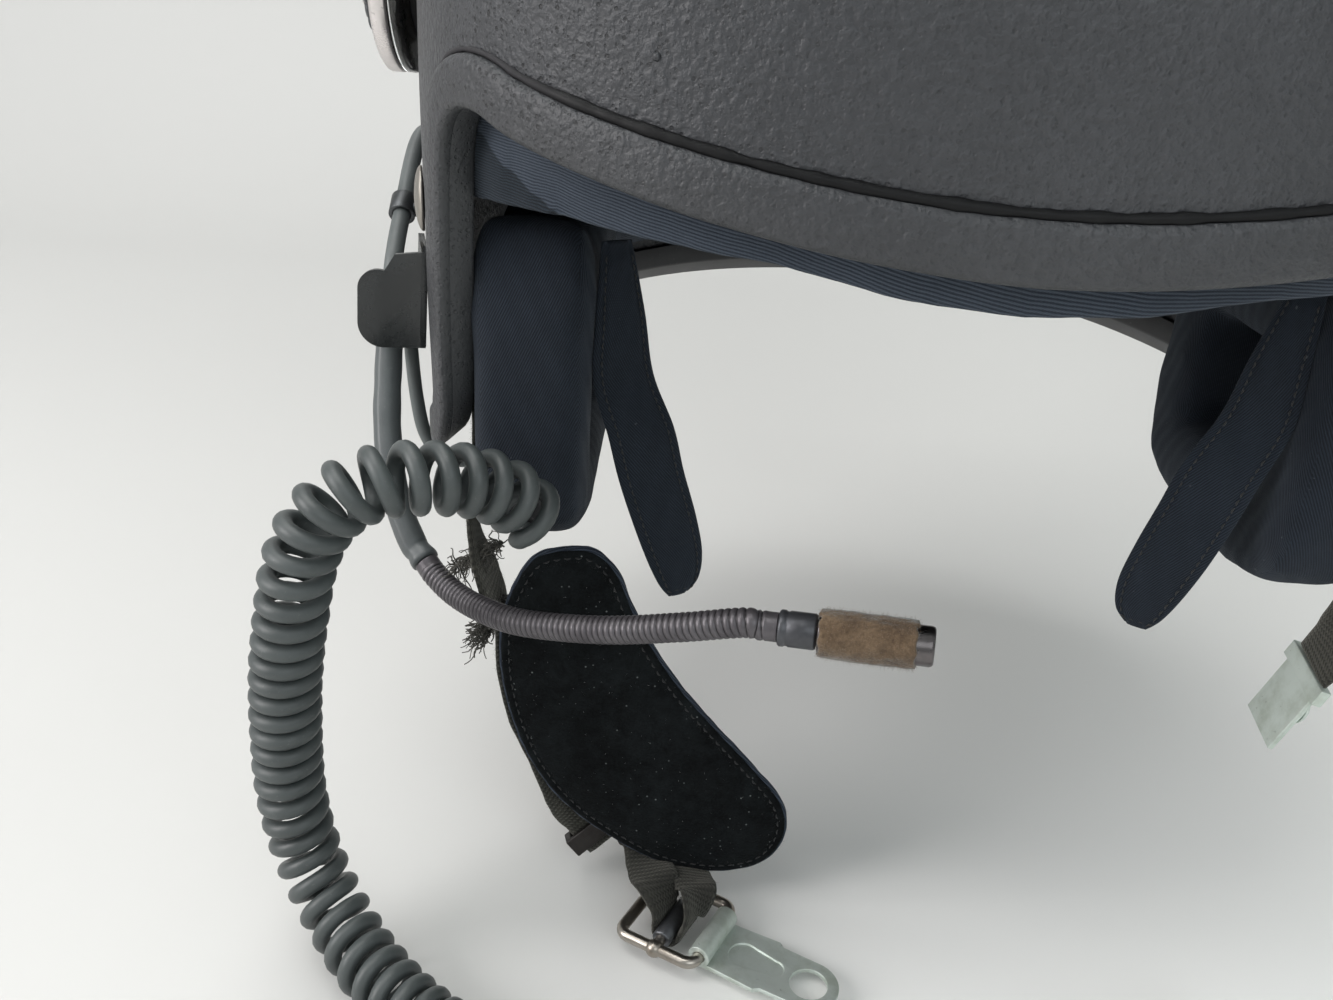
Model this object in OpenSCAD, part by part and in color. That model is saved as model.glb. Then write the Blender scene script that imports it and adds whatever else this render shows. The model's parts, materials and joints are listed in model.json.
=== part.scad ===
// Ballistic helmet with a wide face opening, a hinged clear visor, a boom microphone
// on a gooseneck, a curly lead and a chin strap with a kidney-shaped pad and a hook buckle.
// Frame: +Z up, the face looks along -Y, the wearer's right is -X.
// The origin is the middle of the wearer's head at brow height, where the head holds the helmet.

/* [Shell] */
// Half of the shell's width from ear to ear
shell_half_w = 136; // [132:1:142]
// Reach of the shell in front of its middle
shell_front = 137; // [132:1:142]
// Reach of the shell behind its middle
shell_back = 150; // [142:1:160]
// Height of the dome above its widest level
dome_h = 100; // [95:1:110]
// Height of the widest level above the brow
wide_z = 45; // [42:1:48]
// Distance of the shell's middle behind the origin
mid_y = 25; // [22:1:28]
// Wall of the outer shell
shell_t = 6.5; // [5.5:0.25:7.5]
// Lowest point of the brow edge, at the middle of the face
brow_z = 6; // [2:1:10]
// Rise of the brow edge from the middle to its corners
brow_rise = 18; // [14:1:20]
// Heading of the face opening's upper corner, from straight ahead
corner_deg = 53.5; // [52:0.5:55]
// Height of the bottom edge at the ears
ear_z = -70; // [-74:1:-66]
// Height of the bottom edge at the nape
nape_z = -60; // [-66:1:-54]

/* [Rim] */
// Width of the raised band round the face opening
band_w = 10.8; // [9:0.2:12]
// Extra width of the band at the middle of the brow
band_more = 1.7; // [0:0.1:2.5]
// Height of the raised band above the shell
band_h = 2.2; // [1.5:0.1:3]
// Width of the sealant bead along the band
bead_w = 1.6; // [1.2:0.1:2]
// Wall of the rubber edge trim
trim_t = 1.2; // [0.8:0.1:1.6]
// Depth to which the edge trim covers the shell
trim_w = 7; // [5:0.5:9]

/* [Linings] */
// Thickness of the impact foam
foam_t = 15; // [12:0.5:17]
// Height of the foam's edge at the ears
foam_z = 22; // [20:1:26]
// Rise of the foam's edge from the ears to the brow
foam_tilt = 26; // [22:1:28]
// Thickness of the crown pad
crown_t = 9; // [6:0.5:12]
// Half angle that the crown pad covers
crown_deg = 34; // [28:1:38]
// Thickness of the brow pad
brow_t = 20; // [16:0.5:22]
// Depth of the brow pad's lower edge below the middle of the brow
brow_drop = 11; // [9:0.2:12]
// Thickness of the nape pad
nape_t = 18; // [14:0.5:20]

/* [Ears] */
// Thickness of an ear cushion from the shell towards the head
ear_t = 29; // [27:0.5:30]
// Distance from the shell's widest line to an ear cushion
ear_in = 21.25; // [20.5:0.25:24]
// Length of an ear cushion, front to back
ear_len = 106; // [100:1:110]
// Height of an ear cushion
ear_h = 86.5; // [84:0.5:89]
// Width of the roll that goes round the ear
ear_roll = 27.5; // [26:0.5:28]

/* [Visor] */
// Height of the pivots above the brow
pivot_z = 48; // [46:0.5:52]
// Distance of the pivots behind the origin
pivot_y = 14; // [10:0.5:18]
// Radius of the pivot bolt
bolt_r = 4; // [3:0.25:5]
// Radius of the rubber pivot pad and the spacer
pad_r = 18.5; // [16:0.5:20]
// Thickness of the pivot pad
pad_t = 1.8; // [1.4:0.1:2.4]
// Thickness of the pivot spacer
spacer_t = 1.8; // [1.4:0.1:2.4]
// Thickness of the clear visor
visor_t = 3.5; // [3:0.25:4.5]
// Radius of the visor's lugs and of the clamp discs
disc_r = 26; // [24:0.5:28]
// Thickness of a clamp disc
disc_t = 4.8; // [4:0.2:5.6]
// Radius of a clamp knob
knob_r = 18.5; // [17:0.5:21]
// Thickness of a clamp knob
knob_t = 2.8; // [2.4:0.1:3.6]
// Radius of a knob's cap
cap_r = 11.5; // [9:0.5:14]
// Thickness of a knob's cap
cap_t = 2.4; // [2:0.1:3]
// Room between the band and the inside of the visor
visor_room = 17; // [14:0.5:20]
// Height of the visor's upper edge above the pivots when closed
visor_up = 12; // [8:1:16]
// Reach of the visor below the pivots when closed
visor_down = 130; // [120:1:136]
// Angle to which the visor is raised
visor_open_deg = 70; // [62:1:74]

/* [Boom] */
// Radius of the boom's cable
tube_r = 2.4; // [2:0.1:2.6]
// Radius of the earphone's cable
phone_cable_r = 1.9; // [1.4:0.1:2]
// Radius of the thick boom sleeve
sleeve_r = 3.7; // [3.3:0.1:4]
// Radius of the gooseneck over its ribs
goose_r = 3.3; // [3:0.1:3.5]
// Number of ribs on the gooseneck
goose_ribs = 56; // [40:1:70]
// Radius of the microphone socket
socket_r = 3.9; // [3.6:0.1:4.3]
// Length of the microphone socket
socket_len = 8; // [6:0.5:10]
// Radius of the felt sleeve on the microphone
felt_r = 4.9; // [4.7:0.1:5.3]
// Length of the felt sleeve
felt_len = 21; // [17:0.5:23]
// Radius of the microphone capsule
capsule_r = 4.3; // [4:0.1:4.5]
// Length by which the capsule stands out of the felt
capsule_out = 3.2; // [2:0.2:3.6]

/* [Curly lead] */
// Diameter of the lead
wire_d = 4.4; // [3.8:0.1:4.6]
// Outer diameter of the curls
curl_d = 17.5; // [16:0.5:19]
// Curls in the loose stretch over the boom
loose_curls = 14; // [10:1:14]
// Curls in all
curls = 41; // [36:1:41]
// Radius of the plug's grip
grip_r = 8; // [7:0.5:9]
// Length of the plug's grip
grip_len = 34; // [28:1:38]
// Radius of the plug's pin
pin_r = 3.55; // [3.4:0.05:3.7]
// Length of the plug's pin
pin_len = 28; // [24:1:32]

/* [Chin strap] */
// Width of the strap webbing
web_w = 17; // [14:1:19]
// Thickness of the strap webbing
web_t = 1.5; // [1.2:0.1:1.8]
// Thickness of the chin pad's cushion
chin_t = 6; // [5:0.5:8]
// Thickness of the suede face of the chin pad
suede_t = 1.4; // [1:0.1:1.8]
// Radius of the buckle's wire
wire_r = 1.6; // [1.3:0.1:1.8]
// Length of the buckle's frame along its bar
frame_len = 24.6; // [23.6:0.2:26]
// Distance from the roller bar to the hook plate's hinge
hinge_n = 11.4; // [11:0.1:12]
// Distance from the roller bar to the frame's back
back_n = 11; // [10.5:0.1:12]
// Radius of the roller
roller_r = 2.6; // [2.3:0.1:2.8]
// Thickness of the hook plate
plate_t = 1.4; // [1.1:0.1:1.6]
// Reach of the hook plate from its hinge to its end
plate_len = 36; // [34:0.5:38]
// Radius of the hook plate's eye
eye_r = 5; // [4.4:0.1:5.4]
// Running clearance of pins in their bores
run = 0.05; // [0.03:0.01:0.08]
// Gap between soft or loose pieces and their neighbours
gap = 0.3; // [0.25:0.05:0.4]

/* [Hidden] */

// Exponents of the shell's rounded box: plan in front, plan behind, dome, skirt
front_n = 2.7;
back_exp = 2.3;
dome_exp = 2.3;
skirt_exp = 2;
// Depth at which the narrowing skirt would close
skirt_h = 480;
centre = [0, mid_y, wide_z];
// Direction of the crown's pole, tilted back so that the columns fan out evenly
pole = [0, sin(38), cos(38)];
// Millimetres along the shell for each degree of heading
deg_mm = 2.45;
// Room for the flats of a faceted layer, and the depths below the shell's face of the layers
layer = 0.8;
foam_h = shell_t + gap + layer;
pad_h = foam_h + foam_t + gap + layer;

function unit(v) = v / norm(v);
function mix(a, b, t) = a * (1 - t) + b * t;
function smooth(t) = let (u = min(1, max(0, t))) u * u * (3 - 2 * u);
function slerp(a, b, t) =
  let (w = acos(a * b))
  (a * sin((1 - t) * w) + b * sin(t * w)) / sin(w);

// Distance from the middle to the shell along a direction, the shell moved out by h
function reach(d, h) =
  let (
    a = shell_half_w + h,
    b = (d[1] < 0 ? shell_front : shell_back) + h,
    n = d[1] < 0 ? front_n : back_exp,
    c = (d[2] < 0 ? skirt_h : dome_h) + h,
    m = d[2] < 0 ? skirt_exp : dome_exp
  )
  pow(pow(pow(abs(d[0]) / a, n) + pow(abs(d[1]) / b, n), m / n) + pow(abs(d[2]) / c, m), -1 / m);
function on_shell(d, h) = centre + reach(d, h) * d;

// Direction from the middle to the shell at a heading and a height; side is -1 on the right
function heading(q, side) =
  let (
    n = abs(q[0]) < 90 ? front_n : back_exp,
    b = abs(q[0]) < 90 ? shell_front : shell_back,
    dz = q[1] - wide_z,
    c = dz < 0 ? skirt_h : dome_h,
    m = dz < 0 ? skirt_exp : dome_exp,
    g = pow(pow(abs(sin(q[0])) / shell_half_w, n) + pow(abs(cos(q[0])) / b, n), 1 / n),
    r = pow(1 - pow(abs(dz) / c, m), 1 / m) / g
  )
  unit([side * r * sin(q[0]), -r * cos(q[0]), dz]);

// Outward direction of the shell at a chart point on the right side
function outward(q) =
  unit(cross(
    on_shell(heading(q + [0, 2], -1), 0) - on_shell(heading(q - [0, 2], -1), 0),
    on_shell(heading(q + [1, 0], -1), 0) - on_shell(heading(q - [1, 0], -1), 0)));

// Half of the rim as [heading, height], from the middle of the brow round to the nape
brow_end = 43;
function brow_at(f) = [f, brow_z + brow_rise * pow(f / 46, 1.7)];
function bend(a, b, c, t) = mix(mix(a, b, t), mix(b, c, t), t);
side_top = [corner_deg - 0.2, brow_z + 5];
side_low = [corner_deg + 2.4, ear_z + 24];
low_end = [corner_deg + 14, ear_z + 3.5];
function bottom_at(f) =
  f < 95
    ? [f, ear_z + 3.5 * pow((95 - f) / (95 - low_end[0]), 2)]
    : [f, ear_z + (nape_z - ear_z) * smooth((f - 95) / 85)];
half_rim = concat(
  [for (f = [0 : 5.375 : brow_end - 0.1]) brow_at(f)],
  [for (t = [0 : 0.2 : 1]) bend(brow_at(brow_end), [corner_deg - 1.4, brow_z + brow_rise + 8], side_top, t)],
  [for (t = [0.25 : 0.25 : 0.75]) mix(side_top, side_low, t)],
  [for (t = [0 : 0.2 : 1]) bend(side_low, [corner_deg + 4.4, ear_z + 6], low_end, t)],
  [for (f = [low_end[0] + 8 : (180 - low_end[0] - 8) / 12 : 180.01]) bottom_at(f)]
);
half_n = len(half_rim) - 1;
rim_n = 2 * half_n;
// Last station of the band, past the lower corner of the face opening
band_i = half_n - 13;
// Station of the rim under the ear, where the edge trim starts
trim_i = band_i + 1;

// A rim station's chart point, moved e millimetres into the shell
function chart(i, e) =
  let (
    k = min(half_n, max(0, i)),
    p = half_rim[k],
    a = k == 0 ? half_rim[0] : half_rim[k - 1],
    b = k == half_n ? half_rim[k] : half_rim[k + 1],
    t = unit([(b[0] - a[0]) * deg_mm, b[1] - a[1]])
  )
  [p[0] - t[1] * e / deg_mm, p[1] + t[0] * e];
// A point of the shell at station i, counted round from the brow over the right side
function rim_dir(i, e) =
  let (w = (i % rim_n + rim_n) % rim_n)
  w <= half_n ? heading(chart(w, e), -1) : heading(chart(rim_n - w, e), 1);
function at_rim(i, e, h) = on_shell(rim_dir(i, e), h);

function middle(r) = [for (p = r) 1] * r / len(r);

// A closed body from rings of points, each ring joined to the next; loop joins last to first
// and fan closes the two end rings to their middles
module skin(rings, loop = false, fan = false) {
  n = len(rings);
  s = len(rings[0]);
  last = loop ? n - 1 : n - 2;
  walls = [for (i = [0 : last], j = [0 : s - 1], side = [0, 1])
    let (a = i * s, b = (i + 1) % n * s, k = (j + 1) % s)
    side == 0 ? [a + j, a + k, b + k] : [a + j, b + k, b + j]];
  flat = [[for (j = [s - 1 : -1 : 0]) j], [for (j = [0 : s - 1]) (n - 1) * s + j]];
  fans = concat(
    [for (j = [0 : s - 1]) [(j + 1) % s, j, n * s]],
    [for (j = [0 : s - 1]) [(n - 1) * s + j, (n - 1) * s + (j + 1) % s, n * s + 1]]);
  middles = [middle(rings[0]), middle(rings[n - 1])];
  polyhedron(
    concat([for (r = rings, p = r) p], fan ? middles : []),
    concat(walls, loop ? [] : fan ? fans : flat), convexity = 8);
}

// A bowl between two faces of the shell, from a ring of directions up to the pole
module bowl(dirs, outer_h, inner_h, rows) {
  n = len(dirs);
  out = [for (k = [0 : rows - 1], d = dirs) on_shell(slerp(d, pole, k / rows), outer_h)];
  inn = [for (k = [0 : rows - 1], d = dirs) on_shell(slerp(d, pole, k / rows), inner_h)];
  m = n * rows;
  tops = [on_shell(pole, outer_h), on_shell(pole, inner_h)];
  faces = concat(
    [for (k = [0 : rows - 2], j = [0 : n - 1], w = [0, 1])
      let (a = k * n + j, b = k * n + (j + 1) % n)
      w == 0 ? [a, b + n, a + n] : [a, b, b + n]],
    [for (k = [0 : rows - 2], j = [0 : n - 1], w = [0, 1])
      let (a = m + k * n + j, b = m + k * n + (j + 1) % n)
      w == 0 ? [a, a + n, b + n] : [a, b + n, b]],
    [for (j = [0 : n - 1]) [(rows - 1) * n + j, (rows - 1) * n + (j + 1) % n, 2 * m]],
    [for (j = [0 : n - 1]) [m + (rows - 1) * n + j, 2 * m + 1, m + (rows - 1) * n + (j + 1) % n]],
    [for (j = [0 : n - 1], w = [0, 1])
      let (k = (j + 1) % n)
      w == 0 ? [j, m + k, k] : [j, m + j, m + k]]
  );
  polyhedron(concat(out, inn, tops), faces, convexity = 6);
}

// A strip along the rim: each section point is [distance from the edge, height on the shell]
function strip_rings(section, stations) =
  [for (i = stations) [for (q = section) at_rim(i, q[0], q[1])]];
// The width of the band grows towards the middle of the brow
function wider(i) = band_more * max(0, 1 - abs(i) / 10);

// Turns local Z to a direction at a point
module along(p, d) {
  translate(p)
    rotate([0, acos(unit(d)[2]), atan2(d[1], d[0])])
      children();
}
// Both sides: the children are drawn on the right and mirrored to the left
module both() {
  children();
  mirror([1, 0, 0]) children();
}
module side_of(left) {
  if (left) mirror([1, 0, 0]) children();
  else children();
}

// A smooth curve through points, t counted in points
function spline(p, t) =
  let (
    n = len(p) - 1,
    i = min(n - 1, max(0, floor(t))),
    u = t - i,
    a = p[max(0, i - 1)], b = p[i], c = p[i + 1], d = p[min(n, i + 2)]
  )
  0.5 * (2 * b + (c - a) * u + (2 * a - 5 * b + 4 * c - d) * u * u + (3 * b - a - 3 * c + d) * u * u * u);
function way(p, per) = [for (k = [0 : (len(p) - 1) * per]) spline(p, k / per)];
function heading_of(p, i) = unit(p[min(len(p) - 1, i + 1)] - p[max(0, i - 1)]);
// A ring of points round a path point, square to it; ref is never along the path
function ring_at(c, t, r, sides, ref) =
  let (u = unit(ref - (ref * t) * t), v = cross(t, u))
  [for (k = [0 : sides - 1]) c + r * (cos(360 * k / sides) * u - sin(360 * k / sides) * v)];
function tube_rings(p, r, sides, ref) =
  [for (i = [0 : len(p) - 1]) ring_at(p[i], heading_of(p, i), r, sides, ref)];
// A flat band: rings of four corners from centres, width directions and thickness
function web_rings(p, wide, w, t) =
  [for (i = [0 : len(p) - 1])
    let (d = heading_of(p, i), a = unit(wide[i] - (wide[i] * d) * d), b = cross(d, a))
    [p[i] + a * w / 2 - b * t / 2, p[i] - a * w / 2 - b * t / 2,
     p[i] - a * w / 2 + b * t / 2, p[i] + a * w / 2 + b * t / 2]];

// Pivot stack, from the shell's flat boss outwards
boss_x = shell_half_w + 0.3;
spacer_x = boss_x + pad_t;
lug_x = spacer_x + spacer_t + 0.15;
disc_x = lug_x + visor_t;
knob_x = disc_x + disc_t + 0.2;
cap_x = knob_x + knob_t;
// A cylinder about a pivot axis on the right side, from x0 outwards
module pivot_cyl(r, x0, len) {
  translate([-x0 - len, pivot_y, pivot_z]) rotate([0, 90, 0]) cylinder(r = r, h = len, $fn = 96);
}
// Bolt head inside the shell
head_r = 9;
head_t = 2;
inside_x = shell_half_w - shell_t + 0.4;

// Strap bolt: a domed head on the shell's side; its place on the rim chart
bolt_q = [68, -3];
bolt_d = heading(bolt_q, -1);
strap_bolt_r = 8;
strap_shank_r = 3;
bolt_n = outward(bolt_q);

module outer_shell() {
  color("#4b4a4d")
  difference() {
    union() {
      bowl([for (i = [0 : rim_n - 1]) rim_dir(i, 0)], 0, -shell_t, 14);
      both() pivot_cyl(pad_r + 0.5, shell_half_w - shell_t + 1, shell_t - 0.7);
    }
    both() pivot_cyl(bolt_r + run, shell_half_w - 3 * shell_t, 4 * shell_t);
    both() pivot_cyl(head_r + gap, inside_x - 6, 6);
    both() along(on_shell(bolt_d, 0), bolt_n)
      translate([0, 0, -3 * shell_t]) cylinder(r = strap_shank_r + run, h = 5 * shell_t, $fn = 48);
  }
}

module rim_band() {
  color("#504e52")
  skin([for (i = [-band_i : band_i])
    let (w = band_w + wider(i))
    [for (q = [[0, 0], [w, 0], [w, 0.6], [w - 0.9, 1], [w / 2, 1.12], [1.1, 1], [0, 0.55]])
      at_rim(i, q[0], gap + q[1] * band_h)]]);
}

module rim_sealant() {
  color("#161618")
  skin([for (i = [-band_i : band_i])
    let (w = band_w + wider(i) + 0.1)
    [for (q = [[0, 0], [1, 0], [0.75, 0.3], [0, 0.5]])
      at_rim(i, w + q[0] * bead_w, gap + q[1] * band_h)]]);
}

module edge_trim() {
  color("#1b1c1e")
  skin(strip_rings([
    [trim_w, gap], [trim_w, gap + trim_t], [-gap - trim_t, gap + trim_t],
    [-gap - trim_t, -shell_t - 2 * gap - trim_t], [trim_w, -shell_t - 2 * gap - trim_t],
    [trim_w, -shell_t - 2 * gap], [-gap, -shell_t - gap], [-gap, gap]
  ], [trim_i : rim_n - trim_i]));
}

// The holes that clear the bolts in the linings
module lining_holes() {
  both() pivot_cyl(head_r + 1, shell_half_w - 50, 60);
  both() along(on_shell(bolt_d, 0), bolt_n)
    translate([0, 0, -40]) cylinder(r = head_r, h = 45, $fn = 48);
}

module impact_foam() {
  color("#2a2b2e")
  difference() {
    bowl([for (f = [0 : 9 : 359]) heading([f > 180 ? 360 - f : f,
      foam_z + foam_tilt * cos(f)], f > 180 ? 1 : -1)], -foam_h, -foam_h - foam_t, 10);
    lining_holes();
  }
}

// A cap of padding under the crown, with a crowned face and drawn-in edge
module crown_pad() {
  color("#20242f")
  skin([for (s = [[0, 0.98], [0.12, 1], [0.5, 1], [0.86, 0.95], [1, 0.8], [1.04, 0.45], [1.06, 0.12]])
    [for (f = [0 : 15 : 345])
      let (w = crown_deg * s[1])
      on_shell([sin(w) * sin(f), -sin(w) * cos(f), cos(w)], -pad_h - crown_t * s[0])]], fan = true);
}

// The brow pad runs past the opening's corners; its lower edge is nearly level
brow_far = 63;
brow_low = brow_z - brow_drop + 4;
function brow_pad_low(f) = brow_low - 4 * (1 - smooth(abs(f) / 28));
function brow_pad_t(f) = brow_t * (1 - 0.66 * smooth((abs(f) - 24) / 24));
module brow_pad() {
  color("#2b3242")
  skin([for (f = [-brow_far : 7 : brow_far])
    let (low = brow_pad_low(f), high = foam_z + foam_tilt * cos(f) - 1, t = brow_pad_t(f))
    [for (q = [[high - 0.6, 0], [high, 0.55], [high - 4, 0.94], [(low + high) / 2, 1],
      [low + 4, 0.94], [low, 0.6], [low, 0.25], [low + 1.5, 0]])
      on_shell(heading([abs(f), q[0]], f > 0 ? 1 : -1), -foam_h - q[1] * t)]]);
}

nape_i = 7;
nape_up = 46;
module nape_pad() {
  color("#2b3242")
  skin(strip_rings([
    [trim_w, -foam_h - 0.7 * nape_t], [trim_w + 6, -foam_h - nape_t],
    [0.6 * nape_up, -foam_h - nape_t], [nape_up, -foam_h - 0.7 * nape_t],
    [nape_up, -foam_h], [trim_w + 4, -foam_h]
  ], [half_n - nape_i : half_n + nape_i]));
}

// The ear cushion's place: its middle, and half of what it measures
ear_x = shell_half_w - ear_in - ear_t / 2;
ear_front = mid_y - 0.635 * shell_front;
ear_y = ear_front + ear_len / 2;
ear_top = brow_low - 1.2;
ear_mid_z = ear_top - ear_h / 2;

// A roll of padding round the ear: a boxy ring with a rounded section
function boxy(w, e) = [pow(abs(cos(w)), e) * sign(cos(w)), pow(abs(sin(w)), e) * sign(sin(w))];
module ear_cushion() {
  loop_y = (ear_len - ear_roll) / 2;
  loop_z = (ear_h - ear_roll) / 2;
  color("#232a3a")
  skin([for (f = [0 : 18 : 342])
    let (q = boxy(f, 0.5), mid = [-ear_x, ear_y + loop_y * q[0], ear_mid_z + loop_z * q[1]])
    [for (w = [18 : 36 : 342])
      let (r = boxy(w, 0.6))
      mid + [0, cos(f), sin(f)] * r[0] * ear_roll / 2 + [r[1] * ear_t / 2, 0, 0]]
  ], loop = true);
}

// The earphone fills the cushion's hole
phone_r = ear_h / 2 - ear_roll + 0.1;
phone_d = 18;
module earphone() {
  color("#1e1f22")
  translate([-ear_x - ear_t / 2 - 1, ear_y, ear_mid_z])
    rotate([0, 90, 0])
      difference() {
        cylinder(r = phone_r, h = phone_d, $fn = 64);
        translate([0, 0, phone_d - 1.5]) cylinder(r = phone_r - 3, h = 3, $fn = 64);
      }
}

// A sewn leaf that hangs inside the ear cushion: middle points set out from the shell, with widths
flap_mid = [[54, -46, -6], [55.9, -46, -24], [57.3, -45.8, -40], [62.5, -46, -54], [65.8, -46, -66],
  [70, -47, -78], [73.3, -47.5, -88], [74.8, -48, -95], [74.5, -48.2, -99]];
flap_w = [8, 13.5, 17, 19, 19, 18.5, 16.5, 12, 5];
leaf_round = [[1, 0], [0.8, 0.9], [0, 1], [-0.8, 0.9], [-1, 0], [-0.8, -0.9], [0, -1], [0.8, -0.9]];
module ear_flap() {
  wide = unit([0.85, 0.53, 0]);
  thin = cross([0, 0, 1], wide);
  color("#20293c")
  skin([for (i = [0 : len(flap_w) - 1])
    let (c = flap_mid[i] - [shell_half_w, 0, 0], w = flap_w[i] / 2, t = i % (len(flap_w) - 1) == 0 ? 1 : 1.6)
    [for (q = leaf_round) c + wide * w * q[0] + thin * t * q[1]]]);
}

// Visor stop: an angle of sheet metal on the shell's side, behind the band
stop_t = 1.5;
stop_out = 17;
stop_h = 24;
stop_back = 20;
stop_q = [65.5, -24];
stop_mid = on_shell(heading(stop_q, -1), gap + layer);
stop_n = outward(stop_q);
stop_turn = atan2(-stop_n[1], -stop_n[0]);
stop_lean = asin(-stop_n[2]);
module at_stop() {
  translate(stop_mid) rotate([0, stop_lean, stop_turn]) children();
}
stop_front = stop_mid[1] - stop_back / 2 * cos(stop_turn);
stop_hole = stop_back / 2 - 7;
module visor_stop() {
  color("#222426")
  at_stop() {
    translate([-stop_t, -stop_back / 2, -stop_h / 2])
      difference() {
        cube([stop_t, stop_back, stop_h]);
        translate([-1, stop_back / 2 + stop_hole, stop_h / 2])
          rotate([0, 90, 0]) cylinder(r = 2 + run, h = 4, $fn = 32);
      }
    translate([0, -stop_back / 2, -stop_h / 2])
      rotate([0, 0, -stop_turn])
        translate([0, stop_t, 0])
          rotate([90, 0, 0])
            linear_extrude(stop_t)
              union() {
                polygon([[-0.2, 0], [-0.2, stop_h], [-8, stop_h - 1.4], [6.4 - stop_out, stop_h - 5.8],
                  [-stop_out, stop_h - 10.6], [-stop_out, 5], [6 - stop_out, -1]]);
                translate([6 - stop_out, 5]) circle(r = 6, $fn = 48);
                translate([5 - stop_out, stop_h - 10.6]) circle(r = 5, $fn = 48);
              }
  }
}
// A screw that holds a visor stop; its head is domed
module stop_screw() {
  color("#2c2d30")
  at_stop()
    translate([-stop_t, stop_hole, 0])
      rotate([0, -90, 0]) {
        translate([0, 0, 0.05])
          difference() {
            intersection() {
              cylinder(r = 4.2, h = 2.2, $fn = 48);
              translate([0, 0, -4.2]) sphere(r = 6.4, $fn = 64);
            }
            translate([0, 0, 1.4]) cylinder(r = 1.6, h = 2, $fn = 6);
          }
        translate([0, 0, -stop_t + 0.05]) cylinder(r = 2, h = stop_t + 0.1, $fn = 32);
      }
}

strap_h = shell_t + gap + layer + web_t / 2;
washer_h = strap_h + web_t / 2 + gap;
module strap_bolt() {
  color("#b5b2ab")
  along(on_shell(bolt_d, 0), bolt_n) {
    translate([0, 0, gap])
      intersection() {
        cylinder(r = strap_bolt_r, h = 3, $fn = 64);
        translate([0, 0, -16]) sphere(r = 18.3, $fn = 96);
      }
    translate([0, 0, -washer_h - 1]) cylinder(r = strap_shank_r, h = washer_h + 1.5, $fn = 48);
    translate([0, 0, -washer_h - 1.8]) cylinder(r = 7, h = 1.8, $fn = 48);
  }
}

module pivot_pad() {
  color("#161719")
  difference() {
    pivot_cyl(pad_r, boss_x, pad_t);
    pivot_cyl(bolt_r + run, boss_x - 1, pad_t + 2);
  }
}
module pivot_spacer() {
  color("#0f1012")
  difference() {
    pivot_cyl(pad_r - 1, spacer_x, spacer_t);
    pivot_cyl(bolt_r + run, spacer_x - 1, spacer_t + 2);
  }
}
module pivot_bolt() {
  color("#8d8f92")
  union() {
    pivot_cyl(bolt_r, inside_x - 1, knob_x + knob_t - 1.1 - inside_x + 1);
    pivot_cyl(head_r, inside_x - head_t, head_t);
  }
}
module clamp_disc() {
  color("#c3c0bd")
  difference() {
    union() {
      pivot_cyl(disc_r, disc_x, disc_t - 1);
      translate([-disc_x - disc_t, pivot_y, pivot_z]) rotate([0, 90, 0])
        cylinder(r1 = disc_r - 1, r2 = disc_r, h = 1, $fn = 96);
    }
    pivot_cyl(bolt_r + run, disc_x - 1, disc_t + 2);
  }
}
module clamp_knob() {
  color("#3c4144")
  difference() {
    pivot_cyl(knob_r, knob_x, knob_t);
    pivot_cyl(bolt_r + run, knob_x - 1, knob_t);
    for (f = [0 : 15 : 345])
      translate([-knob_x - knob_t - 1, pivot_y + (knob_r + 0.6) * cos(f), pivot_z + (knob_r + 0.6) * sin(f)])
        rotate([0, 90, 0]) cylinder(r = 1.3, h = knob_t + 2, $fn = 24);
  }
}
module knob_cap() {
  color("#b9b8b3")
  difference() {
    pivot_cyl(cap_r, cap_x, cap_t);
    translate([-cap_x - cap_t - 1, pivot_y - 1.1, pivot_z - 0.8 * cap_r])
      cube([1.8, 2.2, 1.6 * cap_r]);
  }
}

// The clear visor, drawn closed about its pivots and raised by its opening angle.
// Plan: flat lugs at the sides, then an even curve to the front.
visor_side = lug_x;
visor_y = pivot_y - disc_r + 3;
visor_front = shell_front - mid_y + band_h + visor_room + visor_y;
function visor_arc(grow) =
  [for (f = [-90 : 5 : 90]) [(visor_side + grow) * sin(f), visor_y - (visor_front + grow) * cos(f)]];
visor_ends = visor_y + 2 * disc_r + 4;
function visor_plan() =
  let (arc = visor_arc(0), n = len(arc), w = visor_side + visor_t)
  concat([[-w, visor_ends]], visor_arc(visor_t), [[w, visor_ends], [visor_side, visor_ends]],
    [for (i = [n - 1 : -1 : 0]) arc[i]], [[-visor_side, visor_ends]]);
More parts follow.
